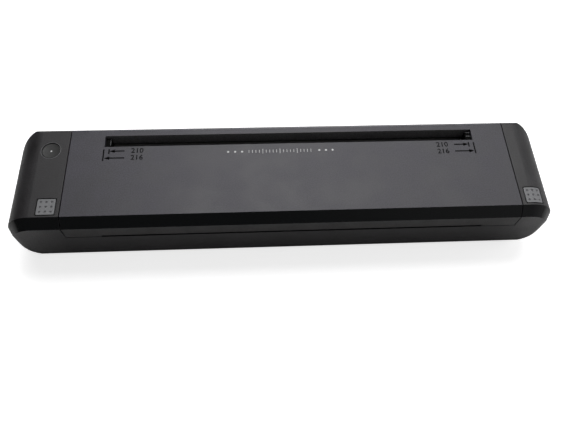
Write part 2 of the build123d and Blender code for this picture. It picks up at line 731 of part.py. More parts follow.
def gear_outline(teeth, tooth_at):
    """Involute outline in (y, z) with one tooth centred at the angle tooth_at, in degrees."""
    pitch = gear_module * teeth / 2
    base = pitch * math.cos(math.radians(20))
    tip, root = pitch + 0.85 * gear_module, pitch - 1.2 * gear_module
    half_tooth = math.pi / (2 * teeth) - tooth_backlash / (2 * pitch)
    pitch_roll = math.tan(math.radians(20)) - math.radians(20)

    def half_angle(radius):
        if radius <= base:
            return half_tooth + pitch_roll
        slope = math.acos(base / radius)
        return half_tooth + pitch_roll - (math.tan(slope) - slope)

    flank_start = max(root, base)
    radii = [flank_start + (tip - flank_start) * step / 4 for step in range(5)]
    flank = [(radius, half_angle(radius)) for radius in radii]
    if root < base:
        flank.insert(0, (root, half_angle(base)))
    points = []
    for tooth in range(teeth):
        middle = math.radians(tooth_at) + 2 * math.pi * tooth / teeth
        points += [(radius, middle - angle) for radius, angle in flank]
        points += [(radius, middle + angle) for radius, angle in reversed(flank)]
    return [(radius * math.cos(angle), radius * math.sin(angle)) for radius, angle in points]


def spur_gear(x, y, z, teeth, tooth_at, bore):
    outline = [(y + across, z + up) for across, up in gear_outline(teeth, tooth_at)]
    return prism_x(x, outline) - rod_x((x[0] - 1, x[1] + 1), y, z, bore)


def platen_gear():
    """A tooth points at the idler; the gear is pinned by its hub."""
    x = along(-1, small_gear[0], small_gear[0] + gear_width)
    gear = spur_gear(x, platen_y, platen_z, platen_teeth, idler_angle, shaft_radius + 0.01)
    hub = rod_x((x[1], x[1] + 0.4), platen_y, platen_z, 4.2)
    return gear + (hub - rod_x((x[1] - 1, x[1] + 2), platen_y, platen_z, shaft_radius + 0.01))


def idler_gear():
    """Small gear meets the platen's, large gear meets the motor's pinion."""
    bore = idler_shaft_radius + running_gap
    gap_at = idler_angle + 180 + 180 / idler_small_teeth
    small = spur_gear(along(-1, *small_gear), idler_y, idler_z, idler_small_teeth, gap_at, bore)
    large = spur_gear(along(-1, *large_gear), idler_y, idler_z, idler_large_teeth, pinion_angle, bore)
    return small + large


def idler_shaft():
    """Stub fixed in the chassis, with a collar behind the gear."""
    x = along(-1, side_plate[0], large_gear[1] + 1.4)
    stub = rod_x(x, idler_y, idler_z, idler_shaft_radius)
    collar = rod_x(along(-1, side_plate[1] + 0.01, small_gear[0] - touch_gap), idler_y, idler_z, 2.6)
    groove = retaining_clip(large_gear[1] + 0.3, idler_y, idler_z, idler_shaft_radius, -1, 0)
    return (stub + collar) - groove


def retaining_clip(start, y, z, radius, side, play=0.02):
    """E-clip in a groove round a shaft, open at the bottom."""
    x = along(side, start, start + 0.6)
    core = radius * 0.72 + play
    clip = rod_x(x, y, z, radius + 1.3) - rod_x((x[0] - 1, x[1] + 1), y, z, core)
    return clip - block((x[0] - 1, x[1] + 1), (y - core, y + core), (z - radius - 2, z))


def motor_shaft():
    return rod_x(along(-1, large_gear[0] - 0.2, cheek[1] + 4.0), motor_y, motor_z, motor_shaft_radius)


def motor_pinion():
    gap_at = pinion_angle + 180 + 180 / pinion_teeth
    x = along(-1, *large_gear)
    return spur_gear(x, motor_y, motor_z, pinion_teeth, gap_at, motor_shaft_radius + 0.01)


def stepper_motor():
    """Can, flange with two ears, front boss and connector."""
    start = cheek[1] + 0.05
    flange_x = along(-1, start, start + flange_thickness)
    can_x = along(-1, start + flange_thickness, start + flange_thickness + motor_length)
    can = rod_x(can_x, motor_y, motor_z, motor_radius)
    can = fillet(can.edges().filter_by(GeomType.CIRCLE), 0.6)
    flange = rod_x(flange_x, motor_y, motor_z, motor_radius)
    for way in (-1, 1):
        ear_z = motor_z + way * motor_ear
        flange += rod_x(flange_x, motor_y, ear_z, 2.6)
        flange += block(flange_x, (motor_y - 2.6, motor_y + 2.6), sorted((motor_z, ear_z)))
    boss = rod_x(along(-1, cheek[0] + 0.4, start + 0.5), motor_y, motor_z, 3.5)
    plug_y = (motor_y + motor_radius - 2.0, motor_y + motor_radius + 2.4)
    plug = block(along(-1, start + 9.0, start + 15.0), plug_y, (motor_z - 4, motor_z + 4))
    body = can + flange + boss + plug
    body -= rod_x(along(-1, cheek[0] - 2, cheek[1] + 4.5), motor_y, motor_z, motor_shaft_radius + running_gap)
    for way in (-1, 1):
        body -= rod_x(along(-1, start - 1, start + 3), motor_y, motor_z + way * motor_ear, 1.05)
    return body


def motor_screws():
    screws = []
    for way in (-1, 1):
        z = motor_z + way * motor_ear
        head_start = cheek[1] + 0.05 + flange_thickness + 0.02
        head = rod_x(along(-1, head_start, head_start + 1.1), motor_y, z, 1.7)
        head -= Pos(paper_x - head_start - 1.1, motor_y, z) * Box(0.9, 0.5, 2.4)
        screws.append(head + rod_x(along(-1, cheek[0] + 0.3, head_start + 0.2), motor_y, z, 0.88))
    return group(*screws)


# ---- chassis and print head ----
def chassis():
    """Bent steel channel: web below, a notched plate at each end, bushes rest in the notches."""
    plate_front = platen_y - bush_radius - 1.9
    rear = pivot_y + 3.6
    half = side_plate[1]
    body = block((paper_x - half, paper_x + half), (plate_front, rear), (web_z, web_top))
    for side in (-1, 1):
        outline = [
            (plate_front, web_z),
            (rear, web_z),
            (rear, pivot_z + 3.6),
            (platen_y + bush_radius + 3.0, pivot_z + 5.0),
            (platen_y + bush_radius + 3.0, platen_z + 2.2),
            (plate_front, platen_z + 2.2),
        ]
        body += prism_x(along(side, *side_plate), outline)
    fit = bush_radius + 0.08
    lean = 0.28  # the mouth opens as the bush swings up with the cover
    mouth = [
        (platen_y - fit, platen_z),
        (platen_y - fit - 4 * lean, platen_z + 4),
        (platen_y + fit + 4 * lean, platen_z + 4),
        (platen_y + fit, platen_z),
    ]
    for side in (-1, 1):
        x = along(side, side_plate[0] - 1, side_plate[1] + 1)
        body -= prism_x(x, mouth)
        body -= rod_x(x, platen_y, platen_z, fit)
        body -= rod_x(x, pivot_y, pivot_z, pivot_radius + 0.02)
    plate_x = along(-1, side_plate[0] - 1, side_plate[1] + 1)
    body -= rod_x(plate_x, idler_y, idler_z, idler_shaft_radius + 0.02)
    for x, y in chassis_holes:
        body -= rod_z(x, y, (web_z - 1, web_top + 1), screw_radius + 0.15)
    for x, y in tray_bosses:
        body -= rod_z(x, y, (web_z - 1, web_top + 1), boss_radius + 0.6)
    for x, y in spring_places:
        body += rod_z(x, y, (web_z + 0.1, web_top + 1.6), 1.5)
    return body


def head_rod():
    half = side_plate[1] + 1.8
    rod = rod_x((paper_x - half, paper_x + half), pivot_y, pivot_z, pivot_radius)
    for side in (-1, 1):
        rod -= retaining_clip(side_plate[1] + 0.3, pivot_y, pivot_z, pivot_radius, side, 0)
    return rod


def shaft_clips():
    clips = [retaining_clip(side_plate[1] + 0.3, pivot_y, pivot_z, pivot_radius, side) for side in (-1, 1)]
    clips.append(retaining_clip(large_gear[1] + 0.3, idler_y, idler_z, idler_shaft_radius, -1))
    return group(*clips)


def head_plate():
    """Aluminium heat sink that tilts on the rod."""
    y = (platen_y - head_front_reach, platen_y + head_back_reach)
    plate = block((paper_x - head_half, paper_x + head_half), y, (head_bottom, head_top))
    for side in (-1, 1):
        x = along(side, *ear_span)
        ear = block(x, (y[1] - 5.0, pivot_y), (pivot_z - 1.5, head_bottom + 0.5))
        ear += rod_x(x, pivot_y, pivot_z, 3.0)
        plate += ear
        plate -= rod_x((x[0] - 1, x[1] + 1), pivot_y, pivot_z, pivot_radius + 0.06)
    return plate


def thermal_element():
    """Ceramic strip with the raised line of heating dots under the platen."""
    x = (paper_x - head_half, paper_x + head_half)
    strip = block(x, (platen_y - 4.5, platen_y + 4.8), (head_top, head_top + element_thickness))
    high = head_top + element_thickness
    ridge = [(platen_y - 1.2, high - 0.01), (platen_y - 0.5, high + element_ridge),
             (platen_y + 0.5, high + element_ridge), (platen_y + 1.2, high - 0.01)]
    return strip + prism_x((x[0] + 1, x[1] - 1), ridge)


def head_driver_board():
    x = (paper_x - head_half, paper_x + head_half)
    plate = block(x, (platen_y + 5.1, platen_y + 13.2), (head_top, head_top + 0.6))
    cover = block((x[0] + 4, x[1] - 4), (platen_y + 5.6, platen_y + 9.2), (head_top + 0.6, head_top + 1.1))
    return plate + chamfer(cover.edges().group_by(Axis.Z)[-1], 0.2)


def head_springs():
    gap = touch_gap
    springs = []
    for x, y in spring_places:
        coil = coil_spring(2.4, 0.3, head_bottom - web_top - 2 * gap, 6.5)
        springs.append(Pos(x, y, web_top + gap) * coil)
    return group(*springs)


def ribbon_path():
    return [
        (platen_y + 12.8, head_top - 0.05),
        (platen_y + 12.8, board_top + 2.2),
        (board_y[0] + 2.5, board_top + 1.4),
    ]


def head_ribbon():
    """Flat cable from the head's driver board down to the main board."""
    start, corner, end = ribbon_path()
    centre = FilletPolyline(Vector(0, *start), Vector(0, *corner), Vector(0, *end), radius=2.0)
    end_plane = Plane(origin=centre @ 0, x_dir=(1, 0, 0), z_dir=centre % 0)
    strip = sweep(end_plane * Rectangle(cable_width, cable_thickness), path=centre)
    return Pos((cable_x[0] + cable_x[1]) / 2, 0, 0) * strip


def lower_paper_guide():
    """Sloping floor of the paper's way, on two ribs that stand on the tray."""
    half = guide_rib[1]
    surface = [(y, chute_z(y)) for y in (chute_y, chute_end)]
    underside = [(y, z - chute_thickness) for y, z in reversed(surface)]
    plate = prism_x((paper_x - half, paper_x + half), surface + underside)
    for side in (-1, 1):
        rib_y = (chute_y + 6.5, chute_end - 1.0)
        outline = [(rib_y[0], inner_floor), (rib_y[1], inner_floor),
                   (rib_y[1], chute_z(rib_y[1]) - 0.8), (rib_y[0], chute_z(rib_y[0]) - 0.8)]
        plate += prism_x(along(side, *guide_rib), outline)
        x, y = guide_screw(side)
        plate += block((x - 3.2, x + 3.2), (y - 3.2, y + 3.2), guide_foot_z)
        plate += block(sorted((x, paper_x + side * (half - 1))), (y - 3.2, y + 3.2), guide_foot_z)
        plate -= rod_z(x, y, (guide_foot_z[0] - 1, guide_foot_z[1] + 1), screw_radius + 0.15)
    plate -= block(sensor_x, sensor_y, (0, top))
    swing_radius = skirt_radius + slide_gap + touch_gap
    swing = rod_x((paper_x - half - 1, paper_x + half + 1), hinge_y, hinge_z, swing_radius)
    return plate - swing


def paper_sensor():
    """Reflective sensor that looks up through the paper's floor."""
    x = (sensor_x[0] + 0.15, sensor_x[1] - 0.15)
    y = (sensor_y[0] + 0.15, sensor_y[1] - 0.15)
    high = chute_z(y[0]) - 0.15
    body = block(x, y, (high - 2.6, high))
    for way in (-1, 1):
        body -= rod_z(paper_x + way * 1.4, (y[0] + y[1]) / 2, (high - 0.6, high + 1), 0.8)
    return body


def cover_sensor():
    """Small switch on the chassis that the cover's finger stands over."""
    x = (paper_x + side_plate[1], paper_x + side_plate[1] + 5.2)
    body = block(x, (switch_y - 4.0, switch_y + 4.0), (switch_z - 6.5, switch_z - 1.0))
    return body + rod_z(switch_x, switch_y, (switch_z - 1.5, switch_z), 0.9)


# ---- battery and electronics ----
def battery_cells():
    cells = []
    for x in cell_starts:
        can = rod_x((x, x + cell_length - 0.6), cell_y, cell_z, cell_radius)
        can = fillet(can.edges().filter_by(GeomType.CIRCLE), 0.5)
        cells.append(can + rod_x((x + cell_length - 0.7, x + cell_length), cell_y, cell_z, 3.0))
    return group(*cells)


def battery_holder():
    low = inner_floor
    holder = block(holder_x, holder_y, (low, low + holder_floor))
    for edge in (holder_y[0], holder_y[1] - holder_wall):
        holder += block(holder_x, (edge, edge + holder_wall), (low, low + 6.0))
    for edge in (holder_x[0], holder_x[1] - holder_wall):
        holder += block((edge, edge + holder_wall), holder_y, (low, cell_z + 4.0))
    for start in cell_starts:
        middle = start + cell_length / 2
        band = (middle - 3.0, middle + 3.0)
        hoop = block(band, holder_y, (low, cell_z + 1.0))
        hoop += rod_x(band, cell_y, cell_z, cell_radius + holder_wall - touch_gap)
        holder += hoop & block(band, holder_y, (low, top))
    inside = (holder_x[0] + holder_wall, holder_x[1] - holder_wall)
    return holder - rod_x(inside, cell_y, cell_z, cell_radius + touch_gap)


def battery_board():
    face = holder_y[0] - slide_gap
    plate = block(battery_board_x, (face - 1.0, face), (inner_floor + 1.0, inner_floor + 5.8))
    for start in (10.0, 18.0, 32.0):
        chip_x = (battery_board_x[0] + start, battery_board_x[0] + start + 4.0)
        plate += block(chip_x, (face - 1.9, face - 1.0), (inner_floor + 1.8, inner_floor + 4.6))
    return plate


def battery_leads():
    """Two leads from the battery board to the main board's connector."""
    leads = []
    y = holder_y[0] - slide_gap - 0.5
    for line in (0, 1):
        low, high = inner_floor + 2.0 + 2.0 * line, board_top + 0.8 + 1.4 * line
        points = [
            Vector(battery_board_x[1] + 0.05, y, low),
            Vector(board_x[0] - 25.0, y, low),
            Vector(board_x[0] - 7.0, y, high),
            Vector(board_x[0] + 5.5, y, high),
        ]
        leads.append(round_lead(points, 0.6, 5.0))
    return group(*leads)


def round_lead(points, radius, bend):
    path = FilletPolyline(*points, radius=bend)
    return sweep(Plane(origin=path @ 0, z_dir=path % 0) * Circle(radius), path=path)


def motor_lead():
    """Lead from the motor, under the drive, to the main board."""
    start_x = paper_x - cheek[1] - 12.0
    start_y = motor_y + motor_radius
    y = lead_middle
    points = [
        Vector(start_x, start_y + 0.2, motor_z - 4.1),
        Vector(start_x, start_y - 1.0, 8.4),
        Vector(paper_x - cheek[1] + 4.0, y, 8.2),
        Vector(paper_x - cheek[1] + 22.0, y, 5.3),
        Vector(board_x[0] - 19.0, y, 5.3),
        Vector(board_x[0] - 5.0, y + 1.0, board_top + 1.3),
        Vector(board_x[0] + 5.5, y + 1.0, board_top + 1.3),
    ]
    return round_lead(points, lead_radius, 4.0)


def main_board():
    plate = block(board_x, board_y, board_z)
    for x, y in board_posts:
        plate -= rod_z(x, y, (board_z[0] - 1, board_z[1] + 1), 1.1)
    return plate


def on_board(x, y, size, height):
    return block((x, x + size[0]), (y, y + size[1]), (board_top, board_top + height))


def board_components():
    """Chips, coil, capacitors and connectors."""
    x, y = board_x[0], board_y[0]
    return group(
        on_board(x + 17, y + 12, (9, 9), 1.2),
        on_board(x + 30, y + 13, (5, 6), 0.9),
        on_board(x + 36, y + 13, (6, 6), 1.0),
        chamfer(on_board(x + 7, y + 17, (6.5, 6.5), 4.0).edges().filter_by(Axis.Z), 1.2),
        rod_z(x + 40, y + 23.0, (board_top, board_top + 8.0), 3.2),
        rod_z(x + 33, y + 23.0, (board_top, board_top + 8.0), 3.2),
        on_board(x + 5.5, y + 3.6, (5.5, 5.0), 3.2),
        on_board(x + 5.5, y + 0.3, (5.5, 3.1), 3.2),
        on_board(cable_x[0] - 1, y + 2.6, (cable_width + 2, 3.0), 2.4),
        on_board(x + 10.5, y + 25, (3.0, 3.4), 2.0),
    )


def shield_can():
    x, y = board_x[0] + 28.5, board_y[0] + 6.2
    can = on_board(x, y, (13, 5.5), 2.2)
    return fillet(can.edges().filter_by(Axis.Z), 0.6)


def usb_socket():
    """Socket with its tongue, mouth flush with the back."""
    width, length, height = usb_size
    mouth = back - 0.15
    middle = Pos(usb_x, usb_z)
    rear, inside = mouth - length, mouth - length + 1.2
    outline = Plane.XZ.offset(-rear) * middle * RectangleRounded(width, height, 1.45)
    hollow = Plane.XZ.offset(-inside) * middle * RectangleRounded(width - 0.6, height - 0.6, 1.15)
    socket = extrude(outline, -length) - extrude(hollow, -length)
    tongue_z = (usb_z - 0.35, usb_z + 0.35)
    tongue = block((usb_x - 3.3, usb_x + 3.3), (rear + 1.0, mouth - 0.9), tongue_z)
    return socket + tongue


def screws_from_below():
    """Screws that hold the tray to the housing."""
    return group(*[machine_screw(x, y, floor + 1.9, 12.0, False) for x, y in tray_bosses])


def inner_screws():
    """Screws of the chassis and the lower paper guide."""
    screws = [machine_screw(x, y, web_top, 4.6, True) for x, y in chassis_holes]
    for side in (-1, 1):
        x, y = guide_screw(side)
        screws.append(machine_screw(x, y, guide_foot_z[1], 3.6, True))
    return group(*screws)


def board_screws():
    screws = [machine_screw(x, y, board_top, 3.6, True, 0.9, 1.8) for x, y in board_posts]
    screws += [machine_screw(x, y, key_board_z[0], 4.0, False, 0.8, 1.6) for x, y in key_board_posts]
    return group(*screws)


def upper_guide_screws():
    return group(*[machine_screw(x, y, upper_z(y) + 1.9, 5.0, False, 1.0, 1.8) for x, y in upper_bosses])


pieces = {
    "upper_housing": upper_housing,
    "base_tray": base_tray,
    "tray_screws": screws_from_below,
    "rubber_feet": rubber_feet,
    "hinge_pins": hinge_pins,
    "top_cover": top_cover,
    "upper_paper_guide": upper_paper_guide,
    "upper_guide_screws": upper_guide_screws,
    "width_guide_left": lambda: width_guide(-1),
    "width_guide_right": lambda: width_guide(1),
    "platen_shaft": platen_shaft,
    "platen_roller": platen_roller,
    "platen_bushes": platen_bushes,
    "platen_gear": platen_gear,
    "idler_gear": idler_gear,
    "idler_shaft": idler_shaft,
    "shaft_clips": shaft_clips,
    "motor_shaft": motor_shaft,
    "motor_pinion": motor_pinion,
    "stepper_motor": stepper_motor,
    "motor_screws": motor_screws,
    "chassis": chassis,
    "head_rod": head_rod,
    "head_plate": head_plate,
    "thermal_element": thermal_element,
    "head_driver_board": head_driver_board,
    "head_springs": head_springs,
    "head_ribbon": head_ribbon,
    "lower_paper_guide": lower_paper_guide,
    "inner_screws": inner_screws,
    "paper_sensor": paper_sensor,
    "cover_sensor": cover_sensor,
    "release_pad_left": lambda: release_pad(-1),
    "release_pad_right": lambda: release_pad(1),
    "latch_left": lambda: latch_slider(-1),
    "latch_right": lambda: latch_slider(1),
    "latch_spring_left": lambda: latch_spring(-1),
    "latch_spring_right": lambda: latch_spring(1),
    "power_key": power_key,
    "key_lamp": key_lamp,
    "switch_plunger": switch_plunger,
    "key_switch": key_switch,
    "switch_board": switch_board,
    "battery_cells": battery_cells,
    "battery_holder": battery_holder,
    "battery_board": battery_board,
    "battery_leads": battery_leads,
    "motor_lead": motor_lead,
    "main_board": main_board,
    "board_components": board_components,
    "shield_can": shield_can,
    "usb_socket": usb_socket,
    "board_screws": board_screws,
}

os.makedirs("parts", exist_ok=True)
for name, make in pieces.items():
    export_step(make(), f"parts/{name}.step")
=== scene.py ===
import math

import bpy
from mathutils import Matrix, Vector


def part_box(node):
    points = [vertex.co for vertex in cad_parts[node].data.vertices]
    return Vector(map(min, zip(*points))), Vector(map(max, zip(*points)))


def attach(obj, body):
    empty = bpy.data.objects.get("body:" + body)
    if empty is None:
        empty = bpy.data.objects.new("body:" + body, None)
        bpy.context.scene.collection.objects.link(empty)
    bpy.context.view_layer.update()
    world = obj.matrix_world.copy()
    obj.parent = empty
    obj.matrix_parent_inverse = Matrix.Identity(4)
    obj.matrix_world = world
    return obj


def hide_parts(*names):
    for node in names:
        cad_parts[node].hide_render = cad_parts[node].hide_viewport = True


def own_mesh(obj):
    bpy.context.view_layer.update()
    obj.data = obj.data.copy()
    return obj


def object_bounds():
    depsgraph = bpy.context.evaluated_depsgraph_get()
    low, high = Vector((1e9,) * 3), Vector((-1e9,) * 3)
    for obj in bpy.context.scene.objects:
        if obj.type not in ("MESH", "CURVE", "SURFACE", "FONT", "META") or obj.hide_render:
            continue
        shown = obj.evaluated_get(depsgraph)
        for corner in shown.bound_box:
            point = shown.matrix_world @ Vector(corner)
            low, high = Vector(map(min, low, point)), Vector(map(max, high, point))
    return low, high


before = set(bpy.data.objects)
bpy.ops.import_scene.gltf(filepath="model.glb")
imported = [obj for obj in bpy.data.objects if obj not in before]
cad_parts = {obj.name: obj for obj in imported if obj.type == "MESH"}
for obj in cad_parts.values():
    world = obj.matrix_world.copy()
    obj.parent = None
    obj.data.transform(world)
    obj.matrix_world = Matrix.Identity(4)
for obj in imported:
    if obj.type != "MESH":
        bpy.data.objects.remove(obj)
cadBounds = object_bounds()
print("frame loaded:", len(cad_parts), "nodes")

mm = 0.001
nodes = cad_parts


def middleOf(node):
    low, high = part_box(node)
    return [(low[axis] + high[axis]) / 2 for axis in range(3)]


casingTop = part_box("top_cover")[1][2]
paperX = middleOf("top_cover")[0]  # the paper runs under the cover's middle
padMiddles = {side: middleOf("release_pad_" + side) for side in ("left", "right")}


# camera, lamps, floor
cameraSetup = {
    "place": (-0.01503, -0.16668, 0.30633),
    "turn": (27.26773, -1.95647, -2.71977),  # degrees
    "sensor": 36.0,
    "lens": 34.375,
    "clipStart": 0.01,
}


def addCamera(setup):
    data = bpy.data.cameras.new("camera")
    data.lens = setup["lens"]
    data.sensor_width = setup["sensor"]
    data.clip_start = setup["clipStart"]
    camera = bpy.data.objects.new("camera", data)
    bpy.context.scene.collection.objects.link(camera)
    camera.location = setup["place"]
    camera.rotation_euler = [math.radians(angle) for angle in setup["turn"]]
    bpy.context.scene.camera = camera


studio = {
    "lamps": {  # place, width, power
        "keyLeft": ((-0.25, 0.36, 0.72), 0.4, 0.95),
        "keyMiddle": ((0.01, 0.36, 0.72), 0.4, 2.25),
        "keyRight": ((0.39, 0.36, 0.72), 0.4, 1.6),
        "sideRight": ((1.0, 0.1, 0.5), 0.6, 1.85),
        "rim": ((0.12, 1.2, 0.22), 0.9, 11.0),
    },
    "aim": (0, 0, 0.02),
    "worldFront": 0.085,  # how bright the surroundings are ahead of the printer
    "worldLeft": 0.018,
    "worldRight": 0.36,
    "backdrop": 1.0,  # what the camera sees past the floor
    "floorColour": (0.86, 0.86, 0.86, 1.0),
    "floorRoughness": 0.9,
    "floorSpecular": 0.1,
    "floorLift": 0.74,  # added for the camera
    "floorGlossLift": 0.02,  # added for reflections
    "floorHalf": 2.5,
    "floorDrop": 0.05 * mm,
}


def addLamp(name, place, size, power):
    data = bpy.data.lights.new(name, "AREA")
    data.shape = "DISK"
    data.size = size
    data.energy = power
    lamp = bpy.data.objects.new(name, data)
    bpy.context.scene.collection.objects.link(lamp)
    lamp.location = place
    lamp.visible_camera = False
    towards = Vector(studio["aim"]) - Vector(place)
    lamp.rotation_euler = towards.to_track_quat("-Z", "Y").to_euler()


def feed(tree, socket, value):
    # another node's output is linked, and a number or colour is set
    if hasattr(value, "links"):
        tree.links.new(value, socket)
    else:
        socket.default_value = value


def mathOf(tree, operation, first, second=0.0):
    node = tree.nodes.new("ShaderNodeMath")
    node.operation = operation
    feed(tree, node.inputs[0], first)
    feed(tree, node.inputs[1], second)
    return node.outputs[0]


def splitOf(tree, vector):
    node = tree.nodes.new("ShaderNodeSeparateXYZ")
    tree.links.new(vector, node.inputs[0])
    return node.outputs


def startMaterial(name):
    material = bpy.data.materials.new(name)
    material.use_nodes = True
    return material, material.node_tree, material.node_tree.nodes["Principled BSDF"]


def addWorld(setup):
    # soft light from the front and both sides, over a white backdrop
    world = bpy.data.worlds.new("studio")
    bpy.context.scene.world = world
    world.use_nodes = True
    tree = world.node_tree
    tree.nodes.clear()
    way = splitOf(tree, tree.nodes.new("ShaderNodeTexCoord").outputs["Generated"])
    glow = 0.0
    for axis, sign, share in (("Y", -1, "worldFront"), ("X", -1, "worldLeft"), ("X", 1, "worldRight")):
        towards = mathOf(tree, "MULTIPLY", way[axis], sign * setup[share])
        glow = mathOf(tree, "ADD", mathOf(tree, "MAXIMUM", towards, 0.0), glow)
    path = tree.nodes.new("ShaderNodeLightPath").outputs
    seen = mathOf(tree, "MAXIMUM", path["Is Camera Ray"], path["Is Transmission Ray"])
    mix = tree.nodes.new("ShaderNodeMixShader")
    tree.links.new(seen, mix.inputs[0])
    for socket, strength in ((mix.inputs[1], glow), (mix.inputs[2], setup["backdrop"])):
        light = tree.nodes.new("ShaderNodeBackground")
        light.inputs["Color"].default_value = (1, 1, 1, 1)
        feed(tree, light.inputs["Strength"], strength)
        tree.links.new(light.outputs[0], socket)
    out = tree.nodes.new("ShaderNodeOutputWorld")
    tree.links.new(mix.outputs[0], out.inputs["Surface"])


def addFloor(setup):
    bpy.ops.object.select_all(action="DESELECT")
    bpy.ops.mesh.primitive_plane_add(size=2 * setup["floorHalf"], location=(0, 0, -setup["floorDrop"]))
    floor = bpy.context.object
    floor.name = "floor"
    material, tree, shader = startMaterial("floorPaper")
    shader.inputs["Base Color"].default_value = setup["floorColour"]
    shader.inputs["Roughness"].default_value = setup["floorRoughness"]
    shader.inputs["Specular IOR Level"].default_value = setup["floorSpecular"]
    path = tree.nodes.new("ShaderNodeLightPath").outputs
    seen = mathOf(tree, "MULTIPLY", path["Is Camera Ray"], setup["floorLift"])
    mirrored = mathOf(tree, "MAXIMUM", path["Is Glossy Ray"], path["Is Transmission Ray"])
    mirrored = mathOf(tree, "MULTIPLY", mirrored, setup["floorGlossLift"])
    lift = tree.nodes.new("ShaderNodeEmission")
    tree.links.new(mathOf(tree, "ADD", seen, mirrored), lift.inputs["Strength"])
    both = tree.nodes.new("ShaderNodeAddShader")
    tree.links.new(shader.outputs[0], both.inputs[0])
    tree.links.new(lift.outputs[0], both.inputs[1])
    tree.links.new(both.outputs[0], tree.nodes["Material Output"].inputs["Surface"])
    floor.data.materials.append(material)


addCamera(cameraSetup)
for lampName, (place, size, power) in studio["lamps"].items():
    addLamp(lampName, place, size, power)
addWorld(studio)
addFloor(studio)
bpy.context.scene.view_settings.view_transform = "Standard"
print("camera, lamps and floor in place")


# shared shader groups
grainSetup = {"scale": 3500.0, "toneScale": 30.0, "detail": 2.0, "roughness": 0.6, "toneDetail": 3.0}
edgeSetup = {
    "radius": 0.3 * mm,
    "samples": 6,
    "agree": (1.0, 0.8),  # how far the rounded and the true normal agree, on a flat face and on an edge
}
fullSpan = (0.0, 1.0)
speckSpan = (0.3, 0.7)  # what most of a noise's values lie between


def newGroup(name, inputs, outputs):
    group = bpy.data.node_groups.new(name, "ShaderNodeTree")
    for label, kind, value in inputs:
        socket = group.interface.new_socket(name=label, in_out="INPUT", socket_type=kind)
        socket.default_value = value
    for label, kind in outputs:
        group.interface.new_socket(name=label, in_out="OUTPUT", socket_type=kind)
    return group, group.nodes.new("NodeGroupInput"), group.nodes.new("NodeGroupOutput")


def makeGrainGroup(setup):
    # fine spark-eroded grain and the slow drift in tone of a moulding
    group, given, put = newGroup(
        "mouldedGrain",
        [
            ("Grain Scale", "NodeSocketFloat", setup["scale"]),
            ("Tone Scale", "NodeSocketFloat", setup["toneScale"]),
        ],
        [("Height", "NodeSocketFloat"), ("Speckle", "NodeSocketFloat"), ("Tone", "NodeSocketFloat")],
    )
    coords = group.nodes.new("ShaderNodeTexCoord")
    fine = group.nodes.new("ShaderNodeTexNoise")
    fine.inputs["Detail"].default_value = setup["detail"]
    fine.inputs["Roughness"].default_value = setup["roughness"]
    cells = group.nodes.new("ShaderNodeTexVoronoi")
    slow = group.nodes.new("ShaderNodeTexNoise")
    slow.inputs["Detail"].default_value = setup["toneDetail"]
    for texture, scale in ((fine, "Grain Scale"), (cells, "Grain Scale"), (slow, "Tone Scale")):
        group.links.new(coords.outputs["Object"], texture.inputs["Vector"])
        group.links.new(given.outputs[scale], texture.inputs["Scale"])
    height = mathOf(group, "ADD", fine.outputs["Fac"], cells.outputs["Distance"])
    group.links.new(height, put.inputs["Height"])
    group.links.new(fine.outputs["Fac"], put.inputs["Speckle"])
    group.links.new(slow.outputs["Fac"], put.inputs["Tone"])
    return group


def makeEdgeGroup(setup):
    # rounded look of sharp edges, and a mask along them
    group, given, put = newGroup(
        "softEdge",
        [("Radius", "NodeSocketFloat", setup["radius"])],
        [("Normal", "NodeSocketVector"), ("Edge", "NodeSocketFloat")],
    )
    bevel = group.nodes.new("ShaderNodeBevel")
    bevel.samples = setup["samples"]
    group.links.new(given.outputs["Radius"], bevel.inputs["Radius"])
    geometry = group.nodes.new("ShaderNodeNewGeometry")
    dot = group.nodes.new("ShaderNodeVectorMath")
    dot.operation = "DOT_PRODUCT"
    group.links.new(bevel.outputs["Normal"], dot.inputs[0])
    group.links.new(geometry.outputs["Normal"], dot.inputs[1])
    edge = rangeOf(group, dot.outputs["Value"], setup["agree"], fullSpan)
    group.links.new(bevel.outputs["Normal"], put.inputs["Normal"])
    group.links.new(edge, put.inputs["Edge"])
    return group


def placeGroup(tree, group, values):
    node = tree.nodes.new("ShaderNodeGroup")
    node.node_tree = group
    for label, value in values.items():
        node.inputs[label].default_value = value
    return node.outputs


def mixColours(tree, factor, first, second, blend="MIX"):
    node = tree.nodes.new("ShaderNodeMix")
    node.data_type = "RGBA"
    node.blend_type = blend
    for place, value in ((0, factor), (6, first), (7, second)):
        feed(tree, node.inputs[place], value)
    return node.outputs[2]


def mixValues(tree, factor, first, second):
    node = tree.nodes.new("ShaderNodeMix")
    for place, value in ((0, factor), (2, first), (3, second)):
        feed(tree, node.inputs[place], value)
    return node.outputs[0]


def rangeOf(tree, value, fromSpan, toSpan, course="LINEAR"):
    node = tree.nodes.new("ShaderNodeMapRange")
    node.interpolation_type = course
    tree.links.new(value, node.inputs["Value"])
    for label, number in zip(("From Min", "From Max", "To Min", "To Max"), (*fromSpan, *toSpan)):
        node.inputs[label].default_value = number
    return node.outputs["Result"]


def softStep(tree, value, span):
    return rangeOf(tree, value, span, fullSpan, "SMOOTHSTEP")


def addBump(tree, shader, height, strength, depth, normal=None):
    bump = tree.nodes.new("ShaderNodeBump")
    bump.inputs["Strength"].default_value = strength
    bump.inputs["Distance"].default_value = depth
    tree.links.new(height, bump.inputs["Height"])
    if normal is not None:
        tree.links.new(normal, bump.inputs["Normal"])
    tree.links.new(bump.outputs["Normal"], shader.inputs["Normal"])


def shade(level, tint=(1.0, 1.0, 1.0)):
    return (level * tint[0], level * tint[1], level * tint[2], 1.0)


def scaled(colour, gain, lift=0.0):
    return tuple(min(share * gain + lift, 1.0) for share in colour[:3]) + (1.0,)


grainGroup = makeGrainGroup(grainSetup)
edgeGroup = makeEdgeGroup(edgeSetup)


